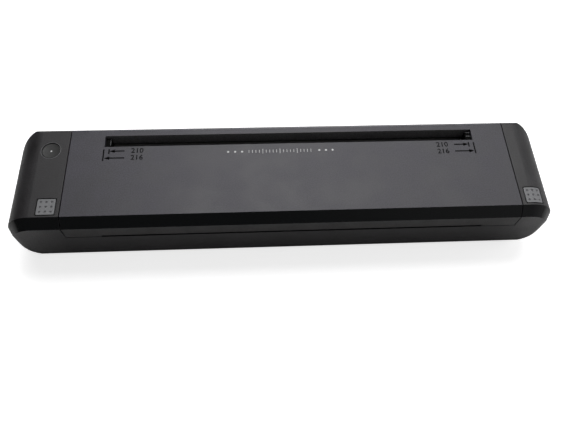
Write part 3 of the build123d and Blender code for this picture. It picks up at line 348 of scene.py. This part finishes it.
# plain plastics, rubber and print
moulded = {
    "edgeRadius": 0.25 * mm,
    # paler along edges: partly wear, partly a painted highlight
    "wornAndGlint": (1.5, 0.02),  # gain and lift of the colour along edges
    "roughSpread": 0.06,
    "bumpDepth": 0.02 * mm,
}


def plainPlastic(
    name, colour, roughness, grainScale=2500.0, bump=0.3, contrast=0.12, specular=0.4, wearAndGlint=0.15
):
    material, tree, shader = startMaterial(name)
    grain = placeGroup(tree, grainGroup, {"Grain Scale": grainScale})
    rim = placeGroup(tree, edgeGroup, {"Radius": moulded["edgeRadius"]})
    tone = mixColours(tree, grain["Tone"], scaled(colour, 1 - contrast), scaled(colour, 1 + contrast))
    # edges are paler, partly from wear and partly as a painted highlight
    wornAndGlint = mathOf(tree, "MULTIPLY", rim["Edge"], wearAndGlint)
    tone = mixColours(tree, wornAndGlint, tone, scaled(colour, *moulded["wornAndGlint"]))
    tree.links.new(tone, shader.inputs["Base Color"])
    spread = moulded["roughSpread"]
    rough = rangeOf(tree, grain["Speckle"], speckSpan, (roughness - spread, roughness + spread))
    tree.links.new(rough, shader.inputs["Roughness"])
    shader.inputs["Specular IOR Level"].default_value = specular
    addBump(tree, shader, grain["Height"], bump, moulded["bumpDepth"], rim["Normal"])
    return material


plastics = {
    "padPlastic": {"colour": shade(0.18, (0.98, 0.99, 1.03)), "roughness": 0.45},
    "dotPlastic": {"colour": shade(0.12, (0.98, 0.99, 1.03)), "roughness": 0.55, "specular": 0.2},
    "keyPlastic": {"colour": shade(0.031), "roughness": 0.5, "specular": 0.34},
    "lampPlastic": {"colour": shade(0.75), "roughness": 0.3, "bump": 0.0},
    "innerPlastic": {"colour": shade(0.12), "roughness": 0.5},
    "guidePlastic": {"colour": shade(0.004), "roughness": 0.7, "specular": 0.07, "wearAndGlint": 0.05},
    "chipPlastic": {"colour": shade(0.016), "roughness": 0.45},
    "acetal": {"colour": shade(0.66, (1.0, 0.98, 0.93)), "roughness": 0.38, "bump": 0.1, "contrast": 0.04},
    # painted shade: near-black matter for the ring that stands for the shade in the key's gap
    "gapShadeRubber": {"colour": shade(0.006), "roughness": 0.8, "specular": 0.1},
    "footRubber": {"colour": shade(0.012), "roughness": 0.75, "grainScale": 1500.0, "bump": 0.8, "wearAndGlint": 0.3},
    "rollerRubber": {"colour": shade(0.016), "roughness": 0.62, "grainScale": 4000.0, "bump": 0.5},
    "darkInk": {"colour": shade(0.008), "roughness": 0.85, "bump": 0.0, "specular": 0.04, "wearAndGlint": 0.0},
    "whiteInk": {"colour": shade(0.72), "roughness": 0.6, "bump": 0.0, "specular": 0.2, "wearAndGlint": 0.0},
    "heaterGlaze": {"colour": (0.09, 0.045, 0.03), "roughness": 0.12, "bump": 0.05, "contrast": 0.03},
    "glazedCeramic": {"colour": (0.62, 0.6, 0.53), "roughness": 0.15, "bump": 0.05, "contrast": 0.03},
    "cellSleeve": {"colour": (0.02, 0.09, 0.24), "roughness": 0.25, "bump": 0.1},
    "redInsulation": {"colour": (0.32, 0.015, 0.012), "roughness": 0.35, "bump": 0.1},
    "greyInsulation": {"colour": shade(0.2), "roughness": 0.4, "bump": 0.1},
    "cableFilm": {"colour": shade(0.68), "roughness": 0.3, "bump": 0.1},
}


# the casing's plastic: matt and grained, with a polished band along the bevelled front edge, and painted
# light and shade on its front faces and round the pads
casing = {
    "top": shade(0.04, (0.995, 0.95, 1.18)),
    # painted shade: the darker colour of the cover's faces that look ahead
    "front": shade(0.0268, (1.0, 0.98, 1.0)),
    "end": shade(0.02, (1.02, 0.96, 1.04)),
    # painted light: the paler colour of the front towards both corners
    "corner": shade(0.057, (1.0, 0.98, 1.0)),
    # painted light: the paler colour of the slot's rear wall
    "paintedSlotLight": shade(0.15, (0.98, 0.97, 1.0)),
    "band": shade(0.0052, (0.85, 1.0, 1.1)),
    # painted shadow: near black in the gaps and on the lips round the pads' openings
    "lip": shade(0.004),  # round the pads' openings
    # where the painted light on the front fades in
    "cornerSpan": (0.118, 0.148),  # distance from the middle over which the front gets paler
    "cornerAhead": (0.5, 0.8),  # how far a face looks ahead
    "coverAhead": (0.8, 0.95),
    "slotFrom": 10.0 * mm,
    "lipHalf": 5.55 * mm,
    "bandLean": 0.7071,  # how far the bevel's faces look ahead
    "bandSpread": 0.05,
    "bandUp": 0.12,  # and up, at least
    "grainScale": 1700.0,
    "toneScale": 60.0,
    "cloud": 0.2,  # how far the tone drifts
    "noiseSpan": (0.35, 0.65),  # of the grain's speckle and tone
    "speckGain": (0.68, 1.36),
    "edgeRadius": 0.2 * mm,
    # paler edges: partly wear, partly painted highlight
    "wornAndGlint": (1.6, 0.01),
    "wearAndGlint": 0.08,
    "roughness": 0.46,
    "roughSpread": 0.05,
    "bandRoughness": 0.14,
    "specular": 0.39,
    "bump": 0.4,
    "bumpDepth": 0.02 * mm,
}


def frontOfEnds(tree, spot, ahead):
    # painted light: the front is a little paler towards both corners
    aside = softStep(tree, mathOf(tree, "ABSOLUTE", spot["X"]), casing["cornerSpan"])
    share = mathOf(tree, "MULTIPLY", aside, softStep(tree, ahead, casing["cornerAhead"]))
    return share, casing["corner"]


def frontOfCover(tree, spot, ahead):
    # painted shade: the cover's faces that look ahead are given a darker colour. Painted light: the slot's
    # rear wall, which only stray light reaches, is given a paler colour that stands in for light
    inSlot = mathOf(tree, "GREATER_THAN", spot["Y"], casing["slotFrom"])
    colour = mixColours(tree, inSlot, casing["front"], casing["paintedSlotLight"])
    return softStep(tree, ahead, casing["coverAhead"]), colour


def padLipShadows(tree, spot):
    # a mask of both pads' openings with a narrow lip round them, where shadow is painted
    left, right = padMiddles["left"], padMiddles["right"]
    aside = mathOf(tree, "ABSOLUTE", mathOf(tree, "SUBTRACT", spot["X"], (left[0] + right[0]) / 2))
    aside = mathOf(tree, "ABSOLUTE", mathOf(tree, "SUBTRACT", aside, (right[0] - left[0]) / 2))
    along = mathOf(tree, "ABSOLUTE", mathOf(tree, "SUBTRACT", spot["Y"], left[1]))
    return mathOf(tree, "LESS_THAN", mathOf(tree, "MAXIMUM", aside, along), casing["lipHalf"])


def casingPlastic(name, colour, frontOf, withLipShadows=False):
    material, tree, shader = startMaterial(name)
    scales = {"Grain Scale": casing["grainScale"], "Tone Scale": casing["toneScale"]}
    grain = placeGroup(tree, grainGroup, scales)
    rim = placeGroup(tree, edgeGroup, {"Radius": casing["edgeRadius"]})
    facing = splitOf(tree, tree.nodes.new("ShaderNodeNewGeometry").outputs["True Normal"])
    spot = splitOf(tree, tree.nodes.new("ShaderNodeTexCoord").outputs["Object"])

    lean = mathOf(tree, "ABSOLUTE", mathOf(tree, "ADD", facing["Y"], casing["bandLean"]))
    bevelled = mathOf(tree, "LESS_THAN", lean, casing["bandSpread"])
    band = mathOf(tree, "MULTIPLY", bevelled, mathOf(tree, "GREATER_THAN", facing["Z"], casing["bandUp"]))
    # painted light and shade on the faces that look ahead
    front, frontColour = frontOf(tree, spot, mathOf(tree, "MULTIPLY", facing["Y"], -1.0))

    drift = rangeOf(tree, grain["Tone"], casing["noiseSpan"], fullSpan)
    tone = mixColours(tree, drift, scaled(colour, 1 - casing["cloud"]), scaled(colour, 1 + casing["cloud"]))
    tone = mixColours(tree, front, tone, frontColour)
    specks = rangeOf(tree, grain["Speckle"], casing["noiseSpan"], casing["speckGain"])
    tone = mixColours(tree, 1.0, tone, specks, "MULTIPLY")
    # edges are paler, partly from wear and partly as a painted highlight
    wornAndGlint = mathOf(tree, "MULTIPLY", rim["Edge"], casing["wearAndGlint"])
    tone = mixColours(tree, wornAndGlint, tone, scaled(colour, *casing["wornAndGlint"]))
    if withLipShadows:
        # painted shadow round the pads' openings
        tone = mixColours(tree, padLipShadows(tree, spot), tone, casing["lip"])
    tree.links.new(mixColours(tree, band, tone, casing["band"]), shader.inputs["Base Color"])

    matt, spread = casing["roughness"], casing["roughSpread"]
    rough = rangeOf(tree, grain["Tone"], casing["noiseSpan"], (matt - spread, matt + spread))
    tree.links.new(mixValues(tree, band, rough, casing["bandRoughness"]), shader.inputs["Roughness"])
    shader.inputs["Specular IOR Level"].default_value = casing["specular"]
    height = mathOf(tree, "MULTIPLY", grain["Height"], mathOf(tree, "SUBTRACT", 1.0, band))
    addBump(tree, shader, height, casing["bump"], casing["bumpDepth"], rim["Normal"])
    return material


# circuit boards: green lacquer over copper tracks, along X in some patches and along Y in others
board = {
    "lacquer": (0.008, 0.085, 0.035, 1.0),
    "track": (0.03, 0.19, 0.075, 1.0),
    "trackScale": 190.0,
    "trackFrom": 0.62,
    "patchScale": 110.0,
    "turnedFrom": 0.5,
    "bareTo": 0.35,
    "grainScale": 800.0,
    "roughness": (0.24, 0.34),
    "bump": 0.5,
    "bumpDepth": 0.04 * mm,
}


def boardLacquer(name):
    material, tree, shader = startMaterial(name)
    grain = placeGroup(tree, grainGroup, {"Grain Scale": board["grainScale"]})
    place = tree.nodes.new("ShaderNodeTexCoord").outputs["Object"]
    patches = tree.nodes.new("ShaderNodeTexVoronoi")
    patches.distance = "CHEBYCHEV"
    patches.inputs["Scale"].default_value = board["patchScale"]
    tree.links.new(place, patches.inputs["Vector"])
    chance = splitOf(tree, patches.outputs["Color"])
    tracks = []
    for direction in ("X", "Y"):
        lines = tree.nodes.new("ShaderNodeTexWave")
        lines.bands_direction = direction
        lines.inputs["Scale"].default_value = board["trackScale"]
        tree.links.new(place, lines.inputs["Vector"])
        tracks.append(mathOf(tree, "GREATER_THAN", lines.outputs["Fac"], board["trackFrom"]))
    turned = mathOf(tree, "GREATER_THAN", chance["X"], board["turnedFrom"])
    covered = mathOf(tree, "GREATER_THAN", chance["Y"], board["bareTo"])
    copper = mathOf(tree, "MULTIPLY", mixValues(tree, turned, *tracks), covered)
    tree.links.new(mixColours(tree, copper, board["lacquer"], board["track"]), shader.inputs["Base Color"])
    rough = rangeOf(tree, grain["Speckle"], speckSpan, board["roughness"])
    tree.links.new(rough, shader.inputs["Roughness"])
    addBump(tree, shader, copper, board["bump"], board["bumpDepth"])
    return material


# metals
metalSurface = {
    "detail": 3.0,
    "roughSpread": 0.08,
    "edgeRadius": 0.15 * mm,
    "bump": 0.15,
    "bumpDepth": 0.02 * mm,
}


def metal(name, colour, roughness, scale, stretch=(1.0, 1.0, 1.0), spots=0.1):
    material, tree, shader = startMaterial(name)
    mapping = tree.nodes.new("ShaderNodeMapping")
    mapping.inputs["Scale"].default_value = stretch
    tree.links.new(tree.nodes.new("ShaderNodeTexCoord").outputs["Object"], mapping.inputs["Vector"])
    lines = tree.nodes.new("ShaderNodeTexNoise")
    lines.inputs["Scale"].default_value = scale
    lines.inputs["Detail"].default_value = metalSurface["detail"]
    tree.links.new(mapping.outputs["Vector"], lines.inputs["Vector"])
    grain = lines.outputs["Fac"]
    tone = mixColours(tree, grain, scaled(colour, 1 - spots), scaled(colour, 1 + spots))
    tree.links.new(tone, shader.inputs["Base Color"])
    shader.inputs["Metallic"].default_value = 1.0
    spread = metalSurface["roughSpread"]
    rough = rangeOf(tree, grain, speckSpan, (roughness - spread, roughness + spread))
    tree.links.new(rough, shader.inputs["Roughness"])
    rim = placeGroup(tree, edgeGroup, {"Radius": metalSurface["edgeRadius"]})
    addBump(tree, shader, grain, metalSurface["bump"], metalSurface["bumpDepth"], rim["Normal"])
    return material


metals = {
    "groundSteel": {
        "colour": (0.55, 0.55, 0.56), "roughness": 0.22, "scale": 2500.0, "stretch": (0.05, 1.0, 1.0),
    },
    "extrudedAluminium": {
        "colour": (0.74, 0.74, 0.75), "roughness": 0.32, "scale": 3000.0, "stretch": (0.03, 1.0, 1.0),
    },
    "zincPlate": {"colour": (0.6, 0.6, 0.57), "roughness": 0.38, "scale": 250.0, "spots": 0.14},
    "springWire": {"colour": (0.5, 0.5, 0.49), "roughness": 0.3, "scale": 1500.0},
    "socketSteel": {"colour": (0.62, 0.62, 0.62), "roughness": 0.28, "scale": 800.0},
    "goldPlate": {"colour": (0.78, 0.57, 0.25), "roughness": 0.3, "scale": 600.0},
}

finishes = {
    "coverPlastic": casingPlastic("coverPlastic", casing["top"], frontOfCover),
    "endPlastic": casingPlastic("endPlastic", casing["end"], frontOfEnds, withLipShadows=True),
    "trayPlastic": casingPlastic("trayPlastic", casing["end"], frontOfEnds),
    "boardLacquer": boardLacquer("boardLacquer"),
}
finishes.update({name: plainPlastic(name, **look) for name, look in plastics.items()})
finishes.update({name: metal(name, **look) for name, look in metals.items()})

finishOf = {
    "coverPlastic": ["top_cover"],
    "endPlastic": ["upper_housing"],
    "trayPlastic": ["base_tray"],
    "padPlastic": ["release_pad_left", "release_pad_right"],
    "keyPlastic": ["power_key"],
    "lampPlastic": ["key_lamp"],
    "innerPlastic": ["upper_paper_guide", "lower_paper_guide", "battery_holder"],
    "guidePlastic": ["width_guide_left", "width_guide_right"],
    "footRubber": ["rubber_feet"],
    "rollerRubber": ["platen_roller"],
    "acetal": ["platen_bushes", "platen_gear", "idler_gear", "motor_pinion", "latch_left", "latch_right"],
    "chipPlastic": ["board_components", "paper_sensor", "cover_sensor", "key_switch", "switch_plunger"],
    "boardLacquer": ["main_board", "switch_board", "battery_board", "head_driver_board"],
    "cellSleeve": ["battery_cells"],
    "redInsulation": ["battery_leads"],
    "greyInsulation": ["motor_lead"],
    "cableFilm": ["head_ribbon"],
    "glazedCeramic": ["thermal_element"],
    "groundSteel": ["platen_shaft", "head_rod", "idler_shaft", "motor_shaft", "hinge_pins"],
    "zincPlate": [
        "chassis", "tray_screws", "inner_screws", "board_screws", "upper_guide_screws", "motor_screws",
        "stepper_motor", "shield_can",
    ],
    "springWire": ["head_springs", "latch_spring_left", "latch_spring_right", "shaft_clips"],
    "extrudedAluminium": ["head_plate"],
    "socketSteel": ["usb_socket"],
}
for finish, names in finishOf.items():
    for name in names:
        nodes[name].data.materials.clear()
        nodes[name].data.materials.append(finishes[finish])
print("materials placed")


# what all the small pieces share
def deselectAll():
    if bpy.context.object and bpy.context.object.mode != "OBJECT":
        bpy.ops.object.mode_set(mode="OBJECT")
    bpy.ops.object.select_all(action="DESELECT")


def openMesh():
    bpy.ops.object.mode_set(mode="EDIT")
    bpy.ops.mesh.select_all(action="SELECT")


def closeMesh():
    bpy.ops.object.mode_set(mode="OBJECT")
    return bpy.context.object


def settle(piece, name):
    # the object goes to the origin with its place in its mesh
    deselectAll()
    piece.select_set(True)
    bpy.context.view_layer.objects.active = piece
    bpy.ops.object.transform_apply(location=True, rotation=True, scale=True)
    piece.name = name
    piece.data.name = name
    return piece


def joinPieces(parts, name):
    deselectAll()
    for part in parts:
        part.select_set(True)
    bpy.context.view_layer.objects.active = parts[0]
    if len(parts) > 1:
        bpy.ops.object.join()
    return settle(bpy.context.object, name)


def finishPiece(piece, finish, body):
    piece.data.materials.clear()
    piece.data.materials.append(finishes[finish])
    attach(piece, body)


barBevel = {"share": 0.2, "segments": 2}  # the share is of a bar's least side


def addBar(x, y, z, thickness):
    # x and y are spans, and z is the underside
    deselectAll()
    middle = ((x[0] + x[1]) / 2, (y[0] + y[1]) / 2, z + thickness / 2)
    sides = (x[1] - x[0], y[1] - y[0], thickness)
    bpy.ops.mesh.primitive_cube_add(size=1.0, location=middle, scale=sides)
    openMesh()
    edge = barBevel["share"] * min(sides)
    bpy.ops.mesh.bevel(offset=edge, segments=barBevel["segments"], affect="EDGES")
    return closeMesh()


# printed width scale beside the slot
widthScale = {
    "ink": 0.03 * mm,
    "line": 0.8 * mm,
    "arrowHead": (3.2 * mm, 2.3 * mm),  # length, width
    "shaftShort": 1.0 * mm,  # from the shaft's end to the tip
    "rows": [  # in mm: y, arrow from, arrow to, tick reach, tick low, tick high; then the number
        (15.15, 96.2, 104.8, 105.0, 13.35, 16.55, "210"),
        (10.45, 96.0, 107.6, 108.0, 8.55, 16.55, "216"),
    ],
    "numberReach": 89.0 * mm,
    "numberHeight": 3.2 * mm,
    "numberShare": 0.7,  # how much of the font's size a number's height is
    "numberSpacing": 1.05,
    "bold": 0.045,  # of the numbers' height, added to their strokes
}


def addArrowHead(tip, y, side):
    length, width = widthScale["arrowHead"]
    ink = widthScale["ink"]
    deselectAll()
    bpy.ops.mesh.primitive_cylinder_add(vertices=3, radius=1.0, depth=1.0, location=(0, 0, 0))
    head = bpy.context.object
    # this triangle is 1.5 long and the root of 3 wide, points along +Y, and is turned towards the tip
    head.scale = (width / math.sqrt(3), length / 1.5, ink)
    head.rotation_euler = (0, 0, -math.pi / 2 * side)
    head.location = (tip - side * length * 2 / 3, y, casingTop + ink / 2)
    return head


def addNumber(words, x, y):
    setup = widthScale
    deselectAll()
    bpy.ops.object.text_add(location=(x, y, casingTop + setup["ink"] / 2))
    text = bpy.context.object
    text.data.body = words
    text.data.align_x = "CENTER"
    text.data.align_y = "CENTER"
    text.data.size = setup["numberHeight"] / setup["numberShare"]
    text.data.space_character = setup["numberSpacing"]
    text.data.offset = setup["bold"] * setup["numberHeight"] / 2
    text.data.extrude = setup["ink"] / 2
    bpy.ops.object.convert(target="MESH")
    return bpy.context.object


def makeWidthScale(side, sideName):
    setup = widthScale
    half, ink = setup["line"] / 2, setup["ink"]
    parts = []
    for row in setup["rows"]:
        y, start, tip, tick, tickLow, tickHigh = (number * mm for number in row[:-1])
        shaft = sorted((paperX + side * start, paperX + side * (tip - setup["shaftShort"])))
        parts.append(addBar(shaft, (y - half, y + half), casingTop, ink))
        parts.append(addArrowHead(paperX + side * tip, y, side))
        tickX = paperX + side * tick
        parts.append(addBar((tickX - half, tickX + half), (tickLow, tickHigh), casingTop, ink))
        parts.append(addNumber(row[-1], paperX + side * setup["numberReach"], y))
    finishPiece(joinPieces(parts, "widthScale" + sideName), "darkInk", "cover")


# white centring marks
centreMarks = {
    "y": 13.05 * mm,
    "dots": [-32.0, -28.0, -24.0, 20.9, 24.8, 28.7],  # mm
    "dotRadius": 0.62 * mm,
    "dotSides": 20,
    "ticks": (-20.0, 17.0, 2.0),  # mm: first, last, step
    "tickHalf": 0.17 * mm,
    "tickReach": 1.0 * mm,
    "tallReach": 1.6 * mm,
    "tallEvery": 5,
}


def makeCentreMarks():
    setup = centreMarks
    y, half, ink = setup["y"], setup["tickHalf"], widthScale["ink"]
    parts = []
    for x in setup["dots"]:
        deselectAll()
        bpy.ops.mesh.primitive_cylinder_add(
            vertices=setup["dotSides"], radius=setup["dotRadius"], depth=ink,
            location=(x * mm, y, casingTop + ink / 2),
        )
        parts.append(bpy.context.object)
    first, last, step = setup["ticks"]
    for number in range(int((last - first) / step) + 1):
        x = (first + number * step) * mm
        isTall = (number + 1) % setup["tallEvery"] == 0
        reach = setup["tallReach"] if isTall else setup["tickReach"]
        parts.append(addBar((x - half, x + half), (y - reach, y + reach), casingTop, ink))
    finishPiece(joinPieces(parts, "centreMarks"), "whiteInk", "cover")


makeWidthScale(-1, "Left")
makeWidthScale(1, "Right")
makeCentreMarks()
print("printed marks made")


# dots in the release pads
padDots = {
    "pitch": 3.0 * mm,
    "radius": 0.56 * mm,
    "height": 0.22 * mm,  # above and below the dot's middle
    "sink": 0.34 * mm,  # of the dot's middle under the casing's top
    "segments": 16,
    "rings": 8,
}
crownRadius = 15.0 * mm  # of the casing's rounded ends


def crownHeight(x):
    beyond = max(abs(x) - (cadBounds[1][0] - crownRadius), 0.0)
    return casingTop - crownRadius + math.sqrt(crownRadius ** 2 - beyond ** 2)


def addPadDot(x, y):
    # a ball becomes a shallow lens, and its lowest point is dissolved into a small flat underside
    setup = padDots
    middle = (x, y, crownHeight(x) - setup["sink"])
    deselectAll()
    bpy.ops.mesh.primitive_uv_sphere_add(
        segments=setup["segments"], ring_count=setup["rings"], radius=setup["radius"], location=middle,
    )
    openMesh()
    flat = setup["height"] / setup["radius"]
    bpy.ops.transform.resize(value=(1, 1, flat), center_override=middle)
    bpy.ops.mesh.select_all(action="DESELECT")
    dot = closeMesh()
    lowest = min(dot.data.vertices, key=lambda vertex: vertex.co.z)
    lowest.select = True
    bpy.ops.object.mode_set(mode="EDIT")
    bpy.ops.mesh.dissolve_verts()
    return closeMesh()


def makePadDots(side):
    x, y, _ = padMiddles[side]
    places = [-padDots["pitch"], 0.0, padDots["pitch"]]
    dots = joinPieces(
        [addPadDot(x + column, y + row) for column in places for row in places],
        "padDots" + side.capitalize(),
    )
    bpy.ops.object.shade_smooth()
    finishPiece(dots, "dotPlastic", "pad_" + side)


# trim ring round the power key, and inside it a near-black ring that is painted shade standing for the key's
# gap
keyRing = {
    "trim": (5.48 * mm, 0.13 * mm, 0.02 * mm),  # radius, half thickness, depth under the casing's top
    "gapShade": (5.21 * mm, 0.15 * mm, 0.07 * mm),
    "steps": 96,
    "sides": 12,
    "innerShare": 0.4,  # of the half thickness, from the ring's middle to where it leans
    "lean": 0.3,
}


def makeKeyRing(part, name, finish):
    radius, half, depth = keyRing[part]
    x, y, _ = middleOf("key_lamp")
    deselectAll()
    bpy.ops.mesh.primitive_torus_add(
        major_segments=keyRing["steps"], minor_segments=keyRing["sides"],
        major_radius=radius, minor_radius=half, location=(x, y, casingTop - depth),
    )
    ring = settle(bpy.context.object, name)
    # the inner half leans down towards the key
    for vertex in ring.data.vertices:
        reach = math.hypot(vertex.co.x - x, vertex.co.y - y)
        vertex.select = reach < radius - keyRing["innerShare"] * half
    bpy.ops.object.mode_set(mode="EDIT")
    bpy.ops.transform.translate(value=(0, 0, -keyRing["lean"] * half))
    closeMesh()
    bpy.ops.object.shade_smooth()
    finishPiece(ring, finish, "base")


# painted highlights on the width guides: pale bars where light catches the guides
guideHighlights = {
    "sink": 0.04 * mm,
    "thickness": 0.05 * mm,
    "left": [((-100.3, -100.05), (20.6, 25.0))],  # mm: x span, y span
    "right": [((110.4, 113.2), (24.5, 25.2)), ((110.4, 113.0), (22.0, 22.5))],
}


def makeGuideHighlights(side):
    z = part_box("width_guide_" + side)[1][2] - guideHighlights["sink"]
    bars = []
    for spans in guideHighlights[side]:
        x, y = ([end * mm for end in span] for span in spans)
        bars.append(addBar(x, y, z, guideHighlights["thickness"]))
    finishPiece(joinPieces(bars, "guideHighlights" + side.capitalize()), "padPlastic", "guide_" + side)


for side in ("left", "right"):
    makePadDots(side)
makeKeyRing("trim", "keyTrimRing", "padPlastic")
# a near-black ring put where the key's gap lies in shade
makeKeyRing("gapShade", "keyGapShadeRing", "gapShadeRubber")
for side in ("left", "right"):
    makeGuideHighlights(side)


# print head: the heater line and the gold strips beside it, from the ceramic's front edge back
headLine = {
    "inset": 2.0 * mm,  # from the ceramic's ends
    "beadMiddle": 4.5 * mm,
    "beadHalf": 0.5 * mm,
    "beadHeight": 0.09 * mm,
    "beadSides": 24,
    "strips": [(0.9 * mm, 2.3 * mm), (6.6 * mm, 8.1 * mm)],
    "foil": 0.02 * mm,
    "fingers": 72,
    "fingerHalf": 0.28,  # of the fingers' pitch
}


def makeHeaterLine():
    setup = headLine
    low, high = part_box("thermal_element")
    start, end = low[0] + setup["inset"], high[0] - setup["inset"]
    middle = ((start + end) / 2, low[1] + setup["beadMiddle"], high[2])
    deselectAll()
    bpy.ops.mesh.primitive_cylinder_add(
        vertices=setup["beadSides"], radius=setup["beadHalf"], depth=end - start,
        location=middle, rotation=(0, math.pi / 2, 0),
    )
    bead = settle(bpy.context.object, "heaterLine")
    openMesh()
    flat = setup["beadHeight"] / setup["beadHalf"]
    bpy.ops.transform.resize(value=(1, 1, flat), center_override=middle)
    closeMesh()
    bpy.ops.object.shade_smooth()
    finishPiece(bead, "heaterGlaze", "head")


def makeHeadContacts():
    setup = headLine
    low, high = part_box("thermal_element")
    start, end = low[0] + setup["inset"], high[0] - setup["inset"]
    top, foil = high[2], setup["foil"]
    strips = [(low[1] + near, low[1] + far) for near, far in setup["strips"]]
    bars = [addBar((start, end), strip, top, foil) for strip in strips]
    # the fingers run from the front strip to the heater line
    fingerY = (strips[0][1], low[1] + setup["beadMiddle"] - setup["beadHalf"])
    pitch = (end - start) / setup["fingers"]
    half = setup["fingerHalf"] * pitch
    for number in range(setup["fingers"]):
        x = start + (number + 0.5) * pitch
        bars.append(addBar((x - half, x + half), fingerY, top, foil))
    finishPiece(joinPieces(bars, "headContacts"), "goldPlate", "head")


# stiffening ribs moulded under the cover
coverRibs = {
    "x": [-98.0, -62.0, -38.0, 2.0, 48.0, 66.0, 106.0],  # mm
    "y": (-22.0 * mm, 5.5 * mm),
    "cross": ((-110.0 * mm, 120.0 * mm), (-25.6 * mm, -24.8 * mm)),
    "z": 36.75 * mm,
    "height": 0.8 * mm,
    "half": 0.55 * mm,
}


def makeCoverRibs():
    setup = coverRibs
    spans = [((x * mm - setup["half"], x * mm + setup["half"]), setup["y"]) for x in setup["x"]]
    ribs = [addBar(x, y, setup["z"], setup["height"]) for x, y in spans + [setup["cross"]]]
    finishPiece(joinPieces(ribs, "coverRibs"), "innerPlastic", "cover")


# contacts on both faces of the socket's tongue
socketContacts = {
    "count": 12,
    "pitch": 0.5 * mm,
    "half": 0.13 * mm,
    "y": (26.2 * mm, 30.4 * mm),
    "tongueHalf": 0.35 * mm,
    "thickness": 0.03 * mm,
}


def makeSocketContacts():
    setup = socketContacts
    socketX, _, socketZ = middleOf("usb_socket")
    half, thickness = setup["half"], setup["thickness"]
    bars = []
    for number in range(setup["count"]):
        x = socketX + (number - (setup["count"] - 1) / 2) * setup["pitch"]
        for z in (socketZ + setup["tongueHalf"], socketZ - setup["tongueHalf"] - thickness):
            bars.append(addBar((x - half, x + half), setup["y"], z, thickness))
    finishPiece(joinPieces(bars, "socketContacts"), "goldPlate", "base")


makeHeaterLine()
makeHeadContacts()
makeCoverRibs()
makeSocketContacts()
print("small pieces made")


# springs, wound at rest to the length of the spring nodes they replace; in the printer they shorten as the
# head tilts and as the latches slide
wireMesh = {"sides": 10, "turnSteps": 22}
headCoils = {
    "reach": [-90.0, -30.0, 30.0, 90.0],  # mm, from the paper's middle
    "y": -17.0 * mm,
    "radius": 2.4 * mm,
    "wireHalf": 0.3 * mm,
    "turns": 6.5,
    "keep": 0.95,
}
latchCoil = {"radius": 1.3 * mm, "wireHalf": 0.25 * mm, "turns": 4.5, "keep": 0.6}


def windSpring(setup, foot, lean, length):
    # a ring of the wire's size is swept round the spring's axis
    half, turns = setup["wireHalf"], setup["turns"]
    deselectAll()
    bpy.ops.mesh.primitive_circle_add(
        vertices=wireMesh["sides"], radius=half, location=(setup["radius"], 0, half),
        rotation=(math.pi / 2, 0, 0),
    )
    spring = settle(bpy.context.object, "spring")
    wind = spring.modifiers.new("wind", "SCREW")
    wind.angle = 2 * math.pi * turns
    wind.screw_offset = length - 2 * half
    wind.steps = wind.render_steps = int(turns * wireMesh["turnSteps"])
    bpy.ops.object.modifier_apply(modifier="wind")
    openMesh()
    bpy.ops.mesh.fill_holes(sides=0)
    bpy.ops.mesh.select_all(action="SELECT")
    bpy.ops.mesh.normals_make_consistent(inside=False)
    closeMesh()
    spring.rotation_euler = (0, lean, 0)
    spring.location = foot
    return spring


def finishSpring(coils, name, node):
    spring = joinPieces(coils, name)
    bpy.ops.object.shade_smooth()
    finishPiece(spring, "springWire", "base")
    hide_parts(node)
    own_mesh(spring)


def makeHeadSprings():
    low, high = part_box("head_springs")
    coils = []
    for reach in headCoils["reach"]:
        foot = (paperX + reach * mm, headCoils["y"], low[2])
        coils.append(windSpring(headCoils, foot, 0, high[2] - low[2]))
    finishSpring(coils, "headCoils", "head_springs")


def makeLatchSpring(side, sign):
    # it stands on its stop at the outer end
    node = "latch_spring_" + side
    low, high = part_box(node)
    _, y, z = middleOf(node)
    stop = (low[0] if sign < 0 else high[0], y, z)
    coil = windSpring(latchCoil, stop, -sign * math.pi / 2, high[0] - low[0])
    name, joint = "latchCoil" + side.capitalize(), "latch_slide_" + side
    finishSpring([coil], name, node)


makeHeadSprings()
makeLatchSpring("left", -1)
makeLatchSpring("right", 1)
print("springs made")
